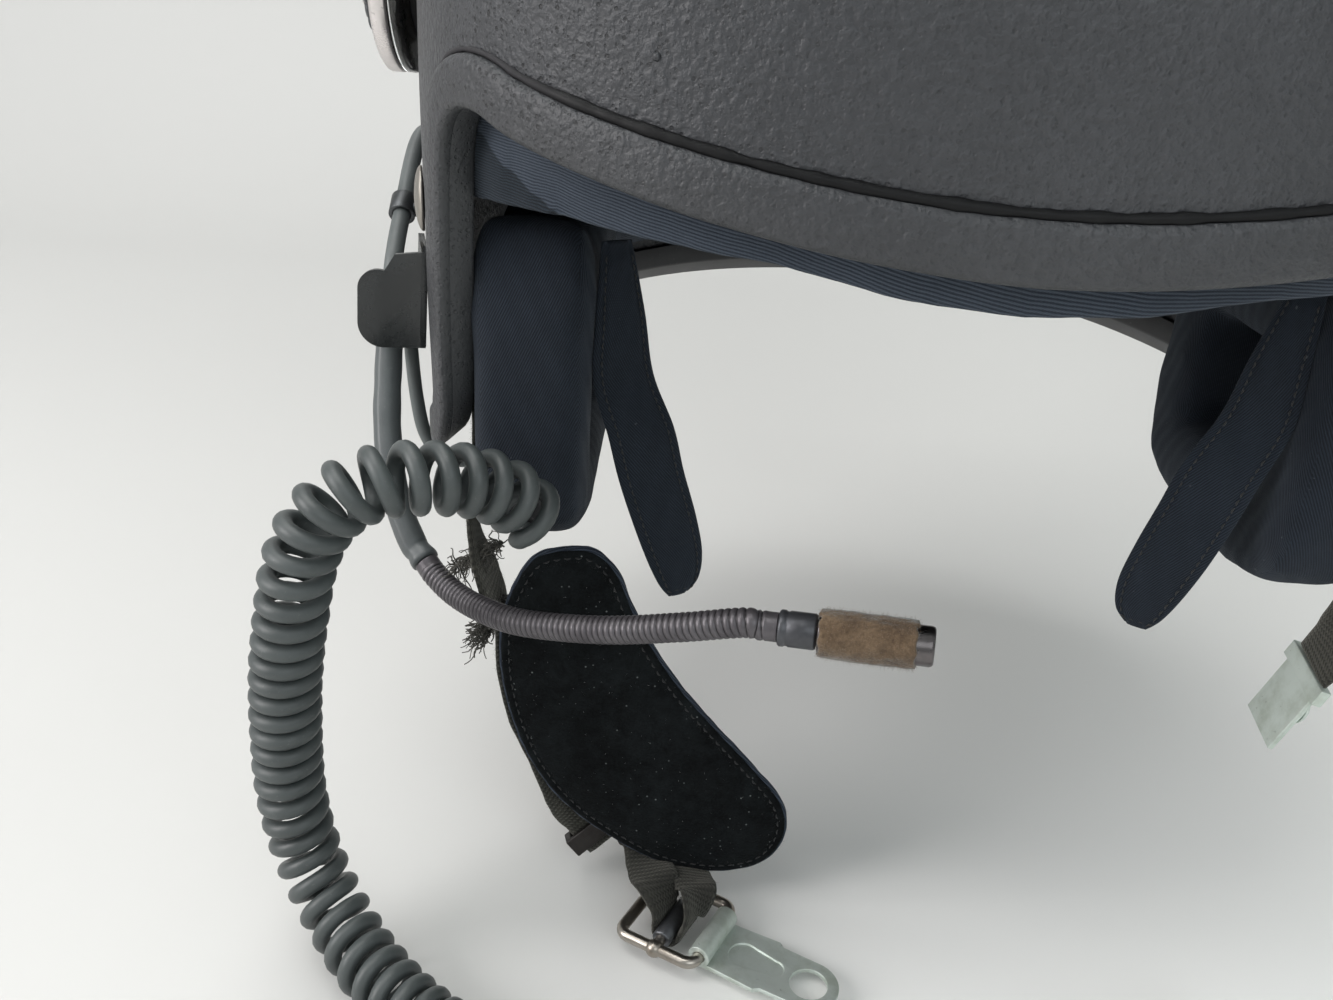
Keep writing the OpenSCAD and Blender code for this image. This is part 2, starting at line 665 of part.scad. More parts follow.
// Side view of the visor in front of its lugs, about the pivot, x forward and y up
module visor_profile() {
  back = pivot_y - stop_front + gap;
  front = visor_front + visor_t - visor_y + pivot_y + 5;
  polygon([
    [0, 0.7 * disc_r], [0.5 * disc_r, 0.8 * disc_r], [disc_r + 8, 0.9 * visor_up + 5],
    [front, visor_up], [front, -visor_down], [back + 84, -visor_down], [back + 76, 6 - visor_down],
    [back + 66, 18 - visor_down], [back + 48, 39 - visor_down], [back + 24, 46 - visor_down],
    [back + 6, 52 - visor_down], [back, 60 - visor_down], [back, -0.45 * disc_r - 22],
    [back - 8, -0.45 * disc_r - 12], [0.5 * disc_r, -0.8 * disc_r], [0, -0.7 * disc_r]
  ]);
}
module visor_shield() {
  wall_x = visor_side + visor_t + 1;
  color([0.8, 0.86, 0.84, 0.5])
  translate([0, pivot_y, pivot_z])
  rotate([-visor_open_deg, 0, 0])
  translate([0, -pivot_y, -pivot_z])
  difference() {
    union() {
      intersection() {
        translate([0, 0, pivot_z - visor_down - 1])
          linear_extrude(visor_down + disc_r + 2) polygon(visor_plan());
        translate([wall_x, pivot_y, pivot_z])
          rotate([90, 0, -90]) linear_extrude(2 * wall_x) visor_profile();
      }
      both() pivot_cyl(disc_r, lug_x, visor_t);
    }
    both() pivot_cyl(bolt_r + run, lug_x - 1, visor_t + 2);
  }
}

// Boom: its points are set out from the shell's right side, at brow height
side_0 = [-shell_half_w, 0, 0];
function from_side(p) = [for (q = p) q + side_0];
grommet_p = side_0 + [0, 30, 4];
cable_pts = from_side([[-4.5, 30, 4], [-7.4, 29.5, 3.8], [-8.4, 25, 1.5], [-8.4, 18, -2.2], [-8, 10, -6.8],
  [-7.6, 2, -12], [-7.4, -6, -17.5], [-7.2, -12, -22.5], [-7.2, -14.5, -26.3]]);
boom_dir = unit([0.65, -0.584, -0.487]);
boom_end = [8.6, -53.4, -91.4];
sleeve_pts = from_side([[-7.2, -15, -27.2], [-7.2, -18, -38], [-6.8, -24, -50], [-5.6, -32, -62],
  [-3, -39.6, -73], [0.6, -45.4, -82], boom_end - boom_dir * 6, boom_end - boom_dir * 3, boom_end]);
mic_dir = unit([30, -6, 1.6]);
goose_end = [95.5, -108, -71.5];
goose_pts = from_side([boom_end + boom_dir * 0.4, boom_end + boom_dir * 5, [18, -62.6, -95.2],
  [26.5, -71.5, -94], [38, -82, -90.6], [57, -92.6, -84.6], [74.5, -101.4, -77.2], goose_end - mic_dir * 8,
  goose_end - mic_dir * 4, goose_end]);
mic_p = side_0 + goose_end + mic_dir * 0.2;

module cable_grommet() {
  color("#1c1d1f")
  translate(grommet_p + [-1.2, 0, 0])
    rotate([0, -90, 0])
      difference() {
        union() {
          cylinder(r = tube_r + 2.9, h = 1.6, $fn = 48);
          cylinder(r = tube_r + 1.4, h = 2.8, $fn = 48);
        }
        translate([0, 0, 0.8]) cylinder(r = tube_r - 0.5, h = 4, $fn = 32);
      }
}

module boom_cable() {
  color("#5b6061")
  skin(tube_rings(way(cable_pts, 3), tube_r, 8, [1, 0, 0.2]));
}

module boom_sleeve() {
  color("#4e5253")
  skin(tube_rings(way(sleeve_pts, 3), sleeve_r, 10, [1, 0, 0.2]));
}

// A ring that holds the cable tube, on a post from the shell's side
clip_i = 5;
clip_p = cable_pts[clip_i];
clip_q = [80, -12.6];
clip_n = outward(clip_q);
clip_foot = on_shell(heading(clip_q, -1), gap);
module cable_clip() {
  color("#a9a9a2")
  difference() {
    union() {
      along(clip_p, cable_pts[clip_i + 1] - cable_pts[clip_i - 1])
        translate([0, 0, -3]) cylinder(r = tube_r + 1.2, h = 6, $fn = 48);
      along(clip_foot, clip_p - clip_foot) cylinder(r = 2, h = norm(clip_p - clip_foot), $fn = 32);
    }
    along(clip_p, cable_pts[clip_i + 1] - cable_pts[clip_i - 1])
      translate([0, 0, -5]) cylinder(r = tube_r + 0.15, h = 10, $fn = 48);
  }
}

phone_cable_pts = from_side([[-3, -14.5, -38], [-2.6, -14, -50], [-1.6, -13.6, -62], [0.4, -13.4, -72],
  [5, -13, -78.8], [12, -11.6, -80.4], [17, -10, -77.6], [19.2, -9, -73.6]]);
module earphone_cable() {
  color("#3a3d3f")
  skin(tube_rings(way(phone_cable_pts, 3), phone_cable_r, 8, [0.2, 1, 0]));
}

// Gooseneck: each rib is a wide and a narrow ring, with plain ends one tube long
goose_way = way(goose_pts, 18);
function steps(p) = [for (i = [0 : len(p) - 2]) norm(p[i + 1] - p[i])];
function sums(s) = [for (i = 0, t = 0; i <= len(s); t = t + (i < len(s) ? s[i] : 0), i = i + 1) t];
function find_at(s, x, a, b) =
  b - a <= 1 ? a : let (m = floor((a + b) / 2)) s[m] <= x ? find_at(s, x, m, b) : find_at(s, x, a, m);
function walk(p, s, x) =
  let (i = find_at(s, x, 0, len(s) - 1), t = (x - s[i]) / (s[i + 1] - s[i]))
  mix(p[i], p[i + 1], t);
function walk_dir(p, s, x, e) =
  unit(walk(p, s, min(s[len(s) - 1] - 0.001, x + e)) - walk(p, s, max(0, x - e)));
goose_s = sums(steps(goose_way));
goose_len = goose_s[len(goose_s) - 1] - 0.01;
module gooseneck() {
  plain = 2 * goose_r;
  pitch = (goose_len - 2 * plain) / goose_ribs;
  stops = concat([[0, 0.92], [plain, 0.92]],
    [for (k = [0 : goose_ribs - 1], s = [[0.3, 1], [0.85, 0.86]]) [plain + (k + s[0]) * pitch, s[1]]],
    [[goose_len - plain, 0.92], [goose_len, 0.92]]);
  color("#4a4444")
  skin([for (q = stops)
    let (c = walk(goose_way, goose_s, q[0]), d = walk_dir(goose_way, goose_s, q[0], 1.5))
    ring_at(c, d, goose_r * q[1], 8, [0, 0.1, 1])]);
}

module mic_socket() {
  color("#57585b")
  along(mic_p, mic_dir)
    difference() {
      union() {
        cylinder(r = socket_r, h = socket_len, $fn = 64);
        cylinder(r = socket_r - 1.2, h = socket_len + 3, $fn = 64);
      }
      translate([0, 0, -1]) cylinder(r = 0.8, h = 3, $fn = 24);
    }
}
module mic_felt() {
  color("#6b5340")
  along(mic_p + mic_dir * (socket_len + 0.2), mic_dir)
    difference() {
      cylinder(r = felt_r, h = felt_len, $fn = 64);
      translate([0, 0, -1]) cylinder(r = capsule_r + 0.01, h = felt_len + 2, $fn = 64);
    }
}
module mic_capsule() {
  color("#9c8f92")
  along(mic_p + mic_dir * (socket_len + 0.2), mic_dir)
    difference() {
      cylinder(r = capsule_r, h = felt_len + capsule_out, $fn = 64);
      translate([0, 0, -1]) cylinder(r = socket_r - 1.2 + run, h = 5, $fn = 64);
      translate([0, 0, felt_len + capsule_out - 0.8]) cylinder(r = capsule_r - 0.9, h = 2, $fn = 64);
    }
}

// Curly lead: where it leaves the ear cushion, and the line that its curls go round
gland_n = unit([0, -0.896, -0.443]);
gland_y = ear_y - 0.937 * (ear_len - ear_roll) / 2 - 0.43 * ear_roll;
gland_z = ear_mid_z - 0.661 * (ear_h - ear_roll) / 2 - 0.218 * ear_roll;
gland_p = [-ear_x, gland_y, gland_z] + gland_n * gap;
module lead_gland() {
  color("#1d1e20")
  along(gland_p, gland_n) {
    cylinder(r = 4.6, h = 1.2, $fn = 48);
    cylinder(r1 = 4, r2 = 3, h = 6, $fn = 48);
  }
}
axis_pts = [[-97, -72, -68], [-102, -75, -61], [-110, -79, -56], [-119, -84, -53.5], [-128, -88, -53],
  [-136, -90, -56],
  [-143, -91, -63], [-147.5, -91, -73], [-150.5, -90, -86], [-153.5, -89, -104], [-155, -88, -122],
  [-155.5, -87, -140], [-153.5, -87, -156], [-148, -91, -168], [-140.5, -98, -175], [-131, -108, -178],
  [-119, -119, -178.6], [-104, -129, -178.6], [-83, -137.4, -178.6]];
axis_way = way(axis_pts, 8);
axis_s = sums(steps(axis_way));
axis_len = axis_s[len(axis_s) - 1] - 0.01;
curl_r = (curl_d - wire_d) / 2;
// Pitch of the curls along the lead: loose over the boom, close where it hangs, open in the bends
pitch_at = [[0, 6.6], [loose_curls * 0.25, 6.2], [loose_curls * 0.5, 6.9], [loose_curls * 0.8, 6.6], [loose_curls, 5.4],
  [loose_curls + 1.5, 5.2], [loose_curls + 6.5, 5.25], [loose_curls + 9.5, 6.1], [loose_curls + 12, 6.7],
  [loose_curls + 18, 6.7], [loose_curls + 21, 5.6], [curls, 5.6]];
travels = sums([for (k = [0 : curls * 8 - 1]) lookup((k + 0.5) / 8, pitch_at) / 8]);
function curl_at(k) =
  let (
    x = travels[k], p = walk(axis_way, axis_s, x), t = walk_dir(axis_way, axis_s, x, 4),
    u = unit([0, 1, 0] - t[1] * t), v = cross(t, u)
  )
  p + curl_r * (cos(45 * k + 90) * u + sin(45 * k + 90) * v);
curl_pts = [for (k = [0 : curls * 8]) curl_at(k)];
lead_in = [gland_p + gland_n * 6.1, gland_p + gland_n * 10.6];
plug_dir = unit([8, 3.4, 0.9]);
tail_end = [8, -143.6, -183.5];
tail_pts = [[-70, -146, -183], [-62, -151, -185], [-50, -154, -185.6], [-36, -155, -185.6],
  [-22, -154, -185.6], [-10, -150.6, -185.4], tail_end - plug_dir * 6, tail_end - plug_dir * 3, tail_end];
tail_dir = unit(tail_pts[1] - tail_pts[0]);
lead_out = [tail_pts[0] - tail_dir * 4.6, tail_pts[0] - tail_dir * 0.1];
lead_pts = concat(lead_in, [for (k = [1 : len(curl_pts) - 2]) curl_pts[k]], lead_out);
lead_n = len(lead_pts);
// Least room between two stretches of the lead that lie at least six points apart
lead_gap = min([for (i = [0 : lead_n - 7])
  min([for (k = [i + 6 : min(lead_n - 1, i + 30)]) norm(lead_pts[k] - lead_pts[i])])]) - wire_d;
lead_length = sums(steps(lead_pts))[lead_n - 1];
echo(least_gap_in_curly_lead_mm = lead_gap);
echo(curly_lead_length_mm = lead_length, line_left = axis_len - travels[curls * 8]);

module curly_lead() {
  color("#4d5252")
  skin([for (i = [0 : len(lead_pts) - 1])
    let (t = heading_of(lead_pts, i), near = i < 3 || i > len(lead_pts) - 4, ref = [0.35, 0.2, 1])
    ring_at(lead_pts[i], t, wire_d / 2, 6, near ? [1, 0.3, 0.1] : ref)]);
}
module lead_tail() {
  color("#4d5252")
  skin(tube_rings(way(tail_pts, 4), wire_d / 2, 8, [0.1, 0.1, 1]));
}
plug_p = tail_end + plug_dir * 0.2;
module plug_boot() {
  color("#1c1d1f")
  along(plug_p, plug_dir) cylinder(r1 = wire_d / 2 + 0.5, r2 = 5, h = 22, $fn = 48);
}
module plug_grip() {
  color("#222325")
  along(plug_p + plug_dir * 22, plug_dir) {
    cylinder(r = grip_r, h = grip_len, $fn = 64);
    translate([0, 0, grip_len]) cylinder(r1 = grip_r, r2 = pin_r + 1.5, h = 3, $fn = 64);
  }
}
module plug_pin() {
  color("#c9b46a")
  along(plug_p + plug_dir * (25 + grip_len), plug_dir)
    union() {
      cylinder(r = pin_r, h = pin_len - 5, $fn = 64);
      translate([0, 0, pin_len - 5]) cylinder(r1 = pin_r - 0.6, r2 = pin_r - 0.2, h = 2.4, $fn = 64);
      translate([0, 0, pin_len - 2.6]) cylinder(r1 = pin_r - 0.2, r2 = 1.2, h = 2.6, $fn = 64);
    }
}

// Chin strap: its points are set out from the shell's right side
function strap_at(f, z, more) = on_shell(heading([f, z], -1), -strap_h - more);
function strap_t(f, z) = let (n = outward([f, z])) unit([n[1], -n[0], 0]);
strap_in = on_shell(bolt_d, 0) - bolt_n * strap_h;
strap_pts = concat(
  [strap_in + [0, 0, 11], strap_in, strap_at(bolt_q[0] - 1.6, bolt_q[1] - 22, 0.5)],
  [strap_at(bolt_q[0], -47, 1.9)],
  from_side([[19.3, -40, -68], [20.8, -52, -80], [25.2, -55.5, -93], [28.2, -53.6, -104],
  [28.85, -53.5, -117], [31.85, -53.5, -132.2], [38, -53.4, -147.4], [46.5, -52.6, -160.5],
  [54, -51.4, -170.5], [61, -51.4, -179]]));
bolt_t = unit([bolt_n[1], -bolt_n[0], 0]);
strap_wide = [bolt_t, bolt_t, strap_t(bolt_q[0] - 1.6, -25), strap_t(bolt_q[0], -47), [-0.15, 1, 0],
  [0, 1, 0], [0.1, 1, 0], [0, 1, 0], [0, 1, 0], [0, 1, 0], [0, 1, 0], [0.4, 0.8, 0.3],
  [0.8, 0.3, 0.6], [0.8, 0.3, 0.6]];
module strap_body(n) {
  first = [for (i = [0 : n - 1]) i];
  pts = [for (i = first) strap_pts[i]];
  color("#26241f")
  difference() {
    skin(web_rings(pts, [for (i = first) strap_wide[i]], web_w, web_t));
    along(strap_in, bolt_n) translate([0, 0, -4]) cylinder(r = strap_shank_r + gap, h = 8, $fn = 48);
  }
}

// Kidney-shaped chin pad: outline in the X-Z plane, set out from the shell's side
kidney = [[46, -80.5], [38, -83.5], [33, -92], [30, -103], [30, -117], [33, -132], [39, -147], [48.5, -160],
  [61, -170], [75, -177.5], [90, -179.8], [103, -176], [109, -166.5], [107.5, -155], [98.5, -143.5],
  [88, -132], [78, -120.5], [70, -109], [63.5, -97], [59, -86.5], [53, -80.8]];
kidney_c = [66, -130];
pad_y = -62;
function kidney_ring(y, grow) =
  [for (q = kidney)
    let (v = q - kidney_c, d = v * (1 + grow / norm(v)))
    [-shell_half_w + kidney_c[0] + d[0], y, kidney_c[1] + d[1]]];
module chin_pad() {
  color("#1d2436")
  skin([for (q = [[0, -1.2], [0.12, 0.3], [0.4, -0.8], [0.8, -6], [1, -14]])
    kidney_ring(pad_y + q[0] * chin_t, q[1])]);
}
module chin_suede() {
  color("#0d0d0e")
  skin([for (q = [[1.6, -12], [1, -2.4], [0.6, -0.2], [0, -0.4]])
    kidney_ring(pad_y - gap - q[0] * suede_t, q[1])]);
}
// A press stud on the outer face of the strap, by the pad's edge
stud_i = 9;
stud_run = unit(strap_pts[stud_i + 1] - strap_pts[stud_i]);
stud_n = cross(stud_run, [0, 1, 0]);
module pad_stud() {
  color("#3a342f")
  along(mix(strap_pts[stud_i], strap_pts[stud_i + 1], 0.55) + stud_n * (web_t / 2 + gap), stud_n) {
    cylinder(r = 5.5, h = 1, $fn = 48);
    translate([0, 0, 1]) cylinder(r1 = 4.6, r2 = 3.6, h = 1.6, $fn = 48);
  }
}
// A slider of sheet metal that the strap is threaded through; a runs over its width
slider_a = unit([0.8, 0.3, 0.6]);
slider_run = unit(strap_pts[13] - strap_pts[12]);
slider_w = unit(slider_a - (slider_a * slider_run) * slider_run);
slider_n = cross(slider_run, slider_w);
module strap_slider() {
  color("#2f2d2b")
  translate((strap_pts[12] + strap_pts[13]) / 2)
    multmatrix([for (k = [0 : 2]) [slider_w[k], slider_n[k], slider_run[k], 0]])
      difference() {
        cube([web_w + 5, web_t + 3.6, 6], center = true);
        cube([web_w + 1, web_t + 0.8, 9], center = true);
      }
}

// Buckle: u runs along its roller bar, n from the bar to the hook, both level
bar_c = side_0 + [80.6, -78.6, -183.4];
bar_u = unit([0.45, 0.89, 0]);
bar_n = unit([0.89, -0.45, 0]);
module at_bar() {
  translate(bar_c)
    multmatrix([[bar_n[0], bar_u[0], 0, 0], [bar_n[1], bar_u[1], 0, 0], [0, 0, 1, 0], [0, 0, 0, 1]])
      children();
}
function at_bar_p(n, u, z) = bar_c + bar_n * n + bar_u * u + [0, 0, z];
loop_r = roller_r + gap + web_t / 2;
loop_pts = concat(
  from_side([[67, -54.9, -168], [69.2, -55.6, -175.6], [71.6, -61.5, -178], [74.2, -71.6, -176.6]]),
  [at_bar_p(-loop_r - 0.8, 0.8, 3.6)],
  [for (f = [180 : 30 : 360]) at_bar_p(loop_r * cos(f), 0, loop_r * sin(f))],
  [at_bar_p(loop_r + 0.8, 0.8, 3.6)],
  from_side([[85.6, -74, -177.4], [85, -67.4, -178.6], [83.9, -62.8, -179.7]]));
loop_wide = concat([[0.88, 0, -0.47], [0.88, 0, -0.47], [0.9, 0.2, -0.3], bar_u, bar_u],
  [for (f = [180 : 30 : 360]) bar_u],
  [bar_u, bar_u, [0.99, 0, -0.15], [0.99, 0, -0.15]]);
module strap_loop() {
  color("#2b2822")
  skin(web_rings(loop_pts, loop_wide, 0.78 * web_w, web_t));
}

// Wire frame: two side wires, a back wire, a hinge wire and the roller bar
side_u = frame_len / 2;
bend_r = 3;
module rod(a, b, r) {
  along(a, b - a) cylinder(r = r, h = norm(b - a), $fn = 32);
}
module buckle_frame() {
  color("#8f918c")
  at_bar()
    union() {
      for (s = [-1, 1]) {
        rod([-back_n + bend_r, s * side_u, 0], [hinge_n - bend_r, s * side_u, 0], wire_r);
        translate([-back_n + bend_r, s * (side_u - bend_r), 0])
          rotate([0, 0, s > 0 ? 90 : 180])
            rotate_extrude(angle = 90, $fn = 48) translate([bend_r, 0]) circle(r = wire_r, $fn = 32);
        translate([hinge_n - bend_r, s * (side_u - bend_r), 0])
          rotate([0, 0, s > 0 ? 0 : 270])
            rotate_extrude(angle = 90, $fn = 48) translate([bend_r, 0]) circle(r = wire_r, $fn = 32);
      }
      rod([-back_n, -side_u + bend_r, 0], [-back_n, side_u - bend_r, 0], wire_r);
      rod([hinge_n, -side_u + bend_r, 0], [hinge_n, side_u - bend_r, 0], wire_r);
      rod([0, -side_u, 0], [0, side_u, 0], wire_r - 0.1);
      for (s = [-1, 1])
        translate([0, s * side_u, 0]) sphere(r = wire_r + 0.8, $fn = 32);
    }
}
roller_len = frame_len - 2 * wire_r - 3.4;
module buckle_roller() {
  color("#55585a")
  at_bar()
    rotate([90, 0, 0])
      translate([0, 0, -roller_len / 2])
        difference() {
          cylinder(r = roller_r, h = roller_len, $fn = 48);
          translate([0, 0, -1]) cylinder(r = wire_r - 0.1 + run, h = roller_len + 2, $fn = 48);
        }
}

// Hook plate: a rolled hinge and a tapered plate with a recess and a round eye
roll_r = wire_r + run + plate_t;
roll_len = frame_len - 2 * bend_r - 1;
end_r = 8;
eye_n = plate_len - end_r;
module plate_outline() {
  union() {
    polygon([[0, roll_len / 2], [roll_r + 1.5, roll_len / 2], [16, 9.4], [17.5, 8.2], [eye_n, end_r],
      [eye_n, -end_r], [17.5, -8.2], [16, -9.4], [roll_r + 1.5, -roll_len / 2], [0, -roll_len / 2]]);
    translate([eye_n, 0]) circle(r = end_r, $fn = 64);
  }
}
module hook_plate() {
  color("#aab0aa")
  at_bar()
    translate([hinge_n, 0, 0])
      difference() {
        union() {
          rotate([90, 0, 0]) translate([0, 0, -roll_len / 2]) cylinder(r = roll_r, h = roll_len, $fn = 64);
          translate([0, 0, -roll_r]) linear_extrude(plate_t - 0.15) plate_outline();
        }
        rotate([90, 0, 0]) translate([0, 0, -roll_len / 2 - 3])
          cylinder(r = wire_r + run, h = roll_len + 6, $fn = 64);
        translate([eye_n, 0, -roll_r - 1]) cylinder(r = eye_r, h = plate_t + 2, $fn = 64);
        translate([0, 0, -roll_r + plate_t - 0.6])
          linear_extrude(2)
            union() {
              translate([9.4, 0]) circle(r = 4.2, $fn = 48);
              translate([18, 0]) circle(r = 2.8, $fn = 48);
              polygon([[9.6, 4.1], [18.2, 2.7], [18.2, -2.7], [9.6, -4.1]]);
            }
      }
}

// The left strap ends in a plate with a stud that takes the hook plate's eye
module stud_plate() {
  run_l = unit(strap_pts[7] - strap_pts[6]);
  w = unit([0, 1, 0] - run_l[1] * run_l);
  n = cross(w, run_l);
  color("#a4a8a3")
  mirror([1, 0, 0])
    translate(strap_pts[7] + run_l * gap)
      multmatrix([for (k = [0 : 2]) [w[k], n[k], run_l[k], 0]])
        union() {
          translate([-web_w / 2 - 2, -1.4, 0]) cube([web_w + 4, 2.8, 5]);
          translate([-web_w / 2, -0.8, 4]) cube([web_w, 1.6, 20]);
          translate([0, 0.6, 14]) rotate([-90, 0, 0]) {
            cylinder(r = eye_r - 1.2, h = 4, $fn = 48);
            translate([0, 0, 4]) cylinder(r1 = eye_r - 0.3, r2 = eye_r - 1.4, h = 1.6, $fn = 48);
          }
        }
}

outer_shell();
rim_band();
rim_sealant();
edge_trim();
impact_foam();
crown_pad();
brow_pad();
nape_pad();
ear_cushion();  // ear_cushion_R
side_of(true) ear_cushion();  // ear_cushion_L
earphone();  // earphone_R
side_of(true) earphone();  // earphone_L
ear_flap();  // ear_flap_R
side_of(true) ear_flap();  // ear_flap_L
visor_stop();  // visor_stop_R
side_of(true) visor_stop();  // visor_stop_L
both() stop_screw();  // stop_screws
both() strap_bolt();  // strap_bolts
both() pivot_pad();  // pivot_pads
both() pivot_spacer();  // pivot_spacers
both() pivot_bolt();  // pivot_bolts
visor_shield();
both() clamp_disc();  // clamp_discs
clamp_knob();  // clamp_knob_R
side_of(true) clamp_knob();  // clamp_knob_L
knob_cap();  // knob_cap_R
side_of(true) knob_cap();  // knob_cap_L
cable_grommet();
boom_cable();
cable_clip();
boom_sleeve();
earphone_cable();
gooseneck();
mic_socket();
mic_felt();
mic_capsule();
lead_gland();
curly_lead();
lead_tail();
plug_boot();
plug_grip();
plug_pin();
strap_body(len(strap_pts));  // chin_strap_R
side_of(true) strap_body(8);  // chin_strap_L
chin_pad();
chin_suede();
pad_stud();
strap_slider();
strap_loop();
buckle_frame();
buckle_roller();
hook_plate();
stud_plate();
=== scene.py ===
import bpy
import bmesh
import json
import math
import numpy as np
from mathutils import Matrix, Vector
from mathutils.geometry import delaunay_2d_cdt


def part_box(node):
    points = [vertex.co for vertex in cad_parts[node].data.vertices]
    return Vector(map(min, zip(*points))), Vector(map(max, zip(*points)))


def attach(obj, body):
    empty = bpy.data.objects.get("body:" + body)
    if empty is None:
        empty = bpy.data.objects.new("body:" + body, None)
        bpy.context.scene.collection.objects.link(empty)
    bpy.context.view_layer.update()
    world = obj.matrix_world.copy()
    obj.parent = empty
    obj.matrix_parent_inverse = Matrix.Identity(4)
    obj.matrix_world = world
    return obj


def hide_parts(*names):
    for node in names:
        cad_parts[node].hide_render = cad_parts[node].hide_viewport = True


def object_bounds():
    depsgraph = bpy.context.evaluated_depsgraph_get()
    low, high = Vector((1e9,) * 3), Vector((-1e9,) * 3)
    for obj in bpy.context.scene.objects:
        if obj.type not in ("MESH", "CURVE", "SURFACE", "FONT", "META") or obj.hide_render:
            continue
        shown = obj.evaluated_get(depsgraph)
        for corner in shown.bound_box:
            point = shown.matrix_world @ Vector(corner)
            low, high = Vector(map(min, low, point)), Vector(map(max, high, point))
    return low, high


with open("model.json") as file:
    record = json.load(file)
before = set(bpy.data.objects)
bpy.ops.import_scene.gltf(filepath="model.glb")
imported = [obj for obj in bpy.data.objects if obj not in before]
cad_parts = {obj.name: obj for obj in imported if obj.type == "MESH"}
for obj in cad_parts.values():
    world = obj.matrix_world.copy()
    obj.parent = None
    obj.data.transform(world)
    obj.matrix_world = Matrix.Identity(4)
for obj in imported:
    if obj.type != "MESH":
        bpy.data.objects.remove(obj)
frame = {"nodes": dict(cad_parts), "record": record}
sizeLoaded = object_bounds()
record = frame["record"]
bodyOfNode = {node: body for body, nodes in record["behaviour"]["bodies"].items() for node in nodes}
scene = bpy.context.scene
print("frame loaded")


# Vectors and curves, in millimetres

def unit(v):
    v = np.asarray(v, float)
    return v / np.maximum(np.linalg.norm(v, axis=-1, keepdims=True), 1e-12)


def smooth(t):
    t = np.clip(t, 0, 1)
    return t * t * (3 - 2 * t)


def mix(a, b, t):
    return np.asarray(a, float) * (1 - t) + np.asarray(b, float) * t


def slerp(a, b, t):
    w = np.arccos(np.clip((a * b).sum(-1, keepdims=True), -1, 1))
    return (a * np.sin((1 - t) * w) + b * np.sin(t * w)) / np.sin(w)


def spline(points, t):
    p = np.asarray(points, float)
    n = len(p) - 1
    t = np.asarray(t, float)
    i = np.clip(np.floor(t).astype(int), 0, n - 1)
    u = (t - i)[..., None]
    a, b, c, d = p[np.maximum(i - 1, 0)], p[i], p[i + 1], p[np.minimum(i + 2, n)]
    second, third = 2 * a - 5 * b + 4 * c - d, 3 * b - a - 3 * c + d
    return 0.5 * (2 * b + (c - a) * u + second * u ** 2 + third * u ** 3)


def way(points, per):
    return spline(points, np.arange((len(points) - 1) * per + 1) / per)


def closedWay(points, per):
    p = np.asarray(points, float)
    n = len(p)
    return spline(np.vstack([p[-2:], p, p[:3]]), 2 + np.arange(n * per) / per)


def lengths(p):
    return np.concatenate([[0], np.cumsum(np.linalg.norm(np.diff(p, axis=0), axis=1))])


def resample(p, step):
    s = lengths(p)
    x = np.linspace(0, s[-1], max(2, int(round(s[-1] / step)) + 1))
    return np.stack([np.interp(x, s, p[:, k]) for k in range(p.shape[1])], 1)


def tangents(p):
    return unit(np.gradient(p, axis=0))


def rolled(points, radius, steps=3):
    # a closed polygon with its corners rounded
    p = np.asarray(points, float)
    out = []
    for i in range(len(p)):
        a, b, c = p[i - 1], p[i], p[(i + 1) % len(p)]
        r = min(radius, np.linalg.norm(a - b) / 2.2, np.linalg.norm(c - b) / 2.2)
        q0, q1 = b + unit(a - b) * r, b + unit(c - b) * r
        for k in range(steps + 1):
            t = k / steps
            out.append(q0 * (1 - t) ** 2 + 2 * b * t * (1 - t) + q1 * t ** 2)
    return np.array(out)


def waves(p, size, seed):
    # soft uneven values from -1 to 1 over points, made of a few crossing sine waves
    r = np.random.default_rng(seed)
    total = 0
    for _ in range(7):
        d = unit(r.normal(size=3)) * 2 * math.pi / size * r.uniform(0.6, 1.7)
        total = total + np.sin(np.asarray(p) @ d + r.uniform(0, 6.3))
    return total / 3.5


# Meshes: every piece is made in place, with its object at the origin

def newObject(name, verts, faces):
    mesh = bpy.data.meshes.new(name)
    points = (np.asarray(verts, float) * 0.001).tolist()
    mesh.from_pydata(points, [], [tuple(int(k) for k in f) for f in faces])
    mesh.shade_smooth()
    obj = bpy.data.objects.new(name, mesh)
    scene.collection.objects.link(obj)
    return obj


def facedOut(obj, join=0.0):
    # vertices closer than join become one, and every face looks outward
    bm = bmesh.new()
    bm.from_mesh(obj.data)
    if join:
        bmesh.ops.remove_doubles(bm, verts=bm.verts, dist=join)
    bmesh.ops.recalc_face_normals(bm, faces=bm.faces)
    bm.to_mesh(obj.data)
    bm.free()
    return obj


def setUv(obj, uv):
    layer = obj.data.uv_layers.new(name="cloth")
    layer.data.foreach_set("uv", np.asarray(uv, np.float32).ravel())


def readAll(collection, name, kind, wide=1):
    # one property of all vertices, faces or corners as an array
    values = np.zeros(len(collection) * wide, kind)
    collection.foreach_get(name, values)
    return values.reshape(-1, wide) if wide > 1 else values


def boxUv(obj):
    # cloth coordinates in metres from the side that each face looks to
    mesh = obj.data
    corner = readAll(mesh.vertices, "co", np.float32, 3)[readAll(mesh.loops, "vertex_index", np.int32)]
    side = np.abs(readAll(mesh.polygons, "normal", np.float32, 3)).argmax(1)
    side = np.repeat(side, readAll(mesh.polygons, "loop_total", np.int32))
    across = np.where(side == 0, corner[:, 1], corner[:, 0])
    up = np.where(side == 2, corner[:, 1], corner[:, 2])
    setUv(obj, np.stack([across, up], 1))


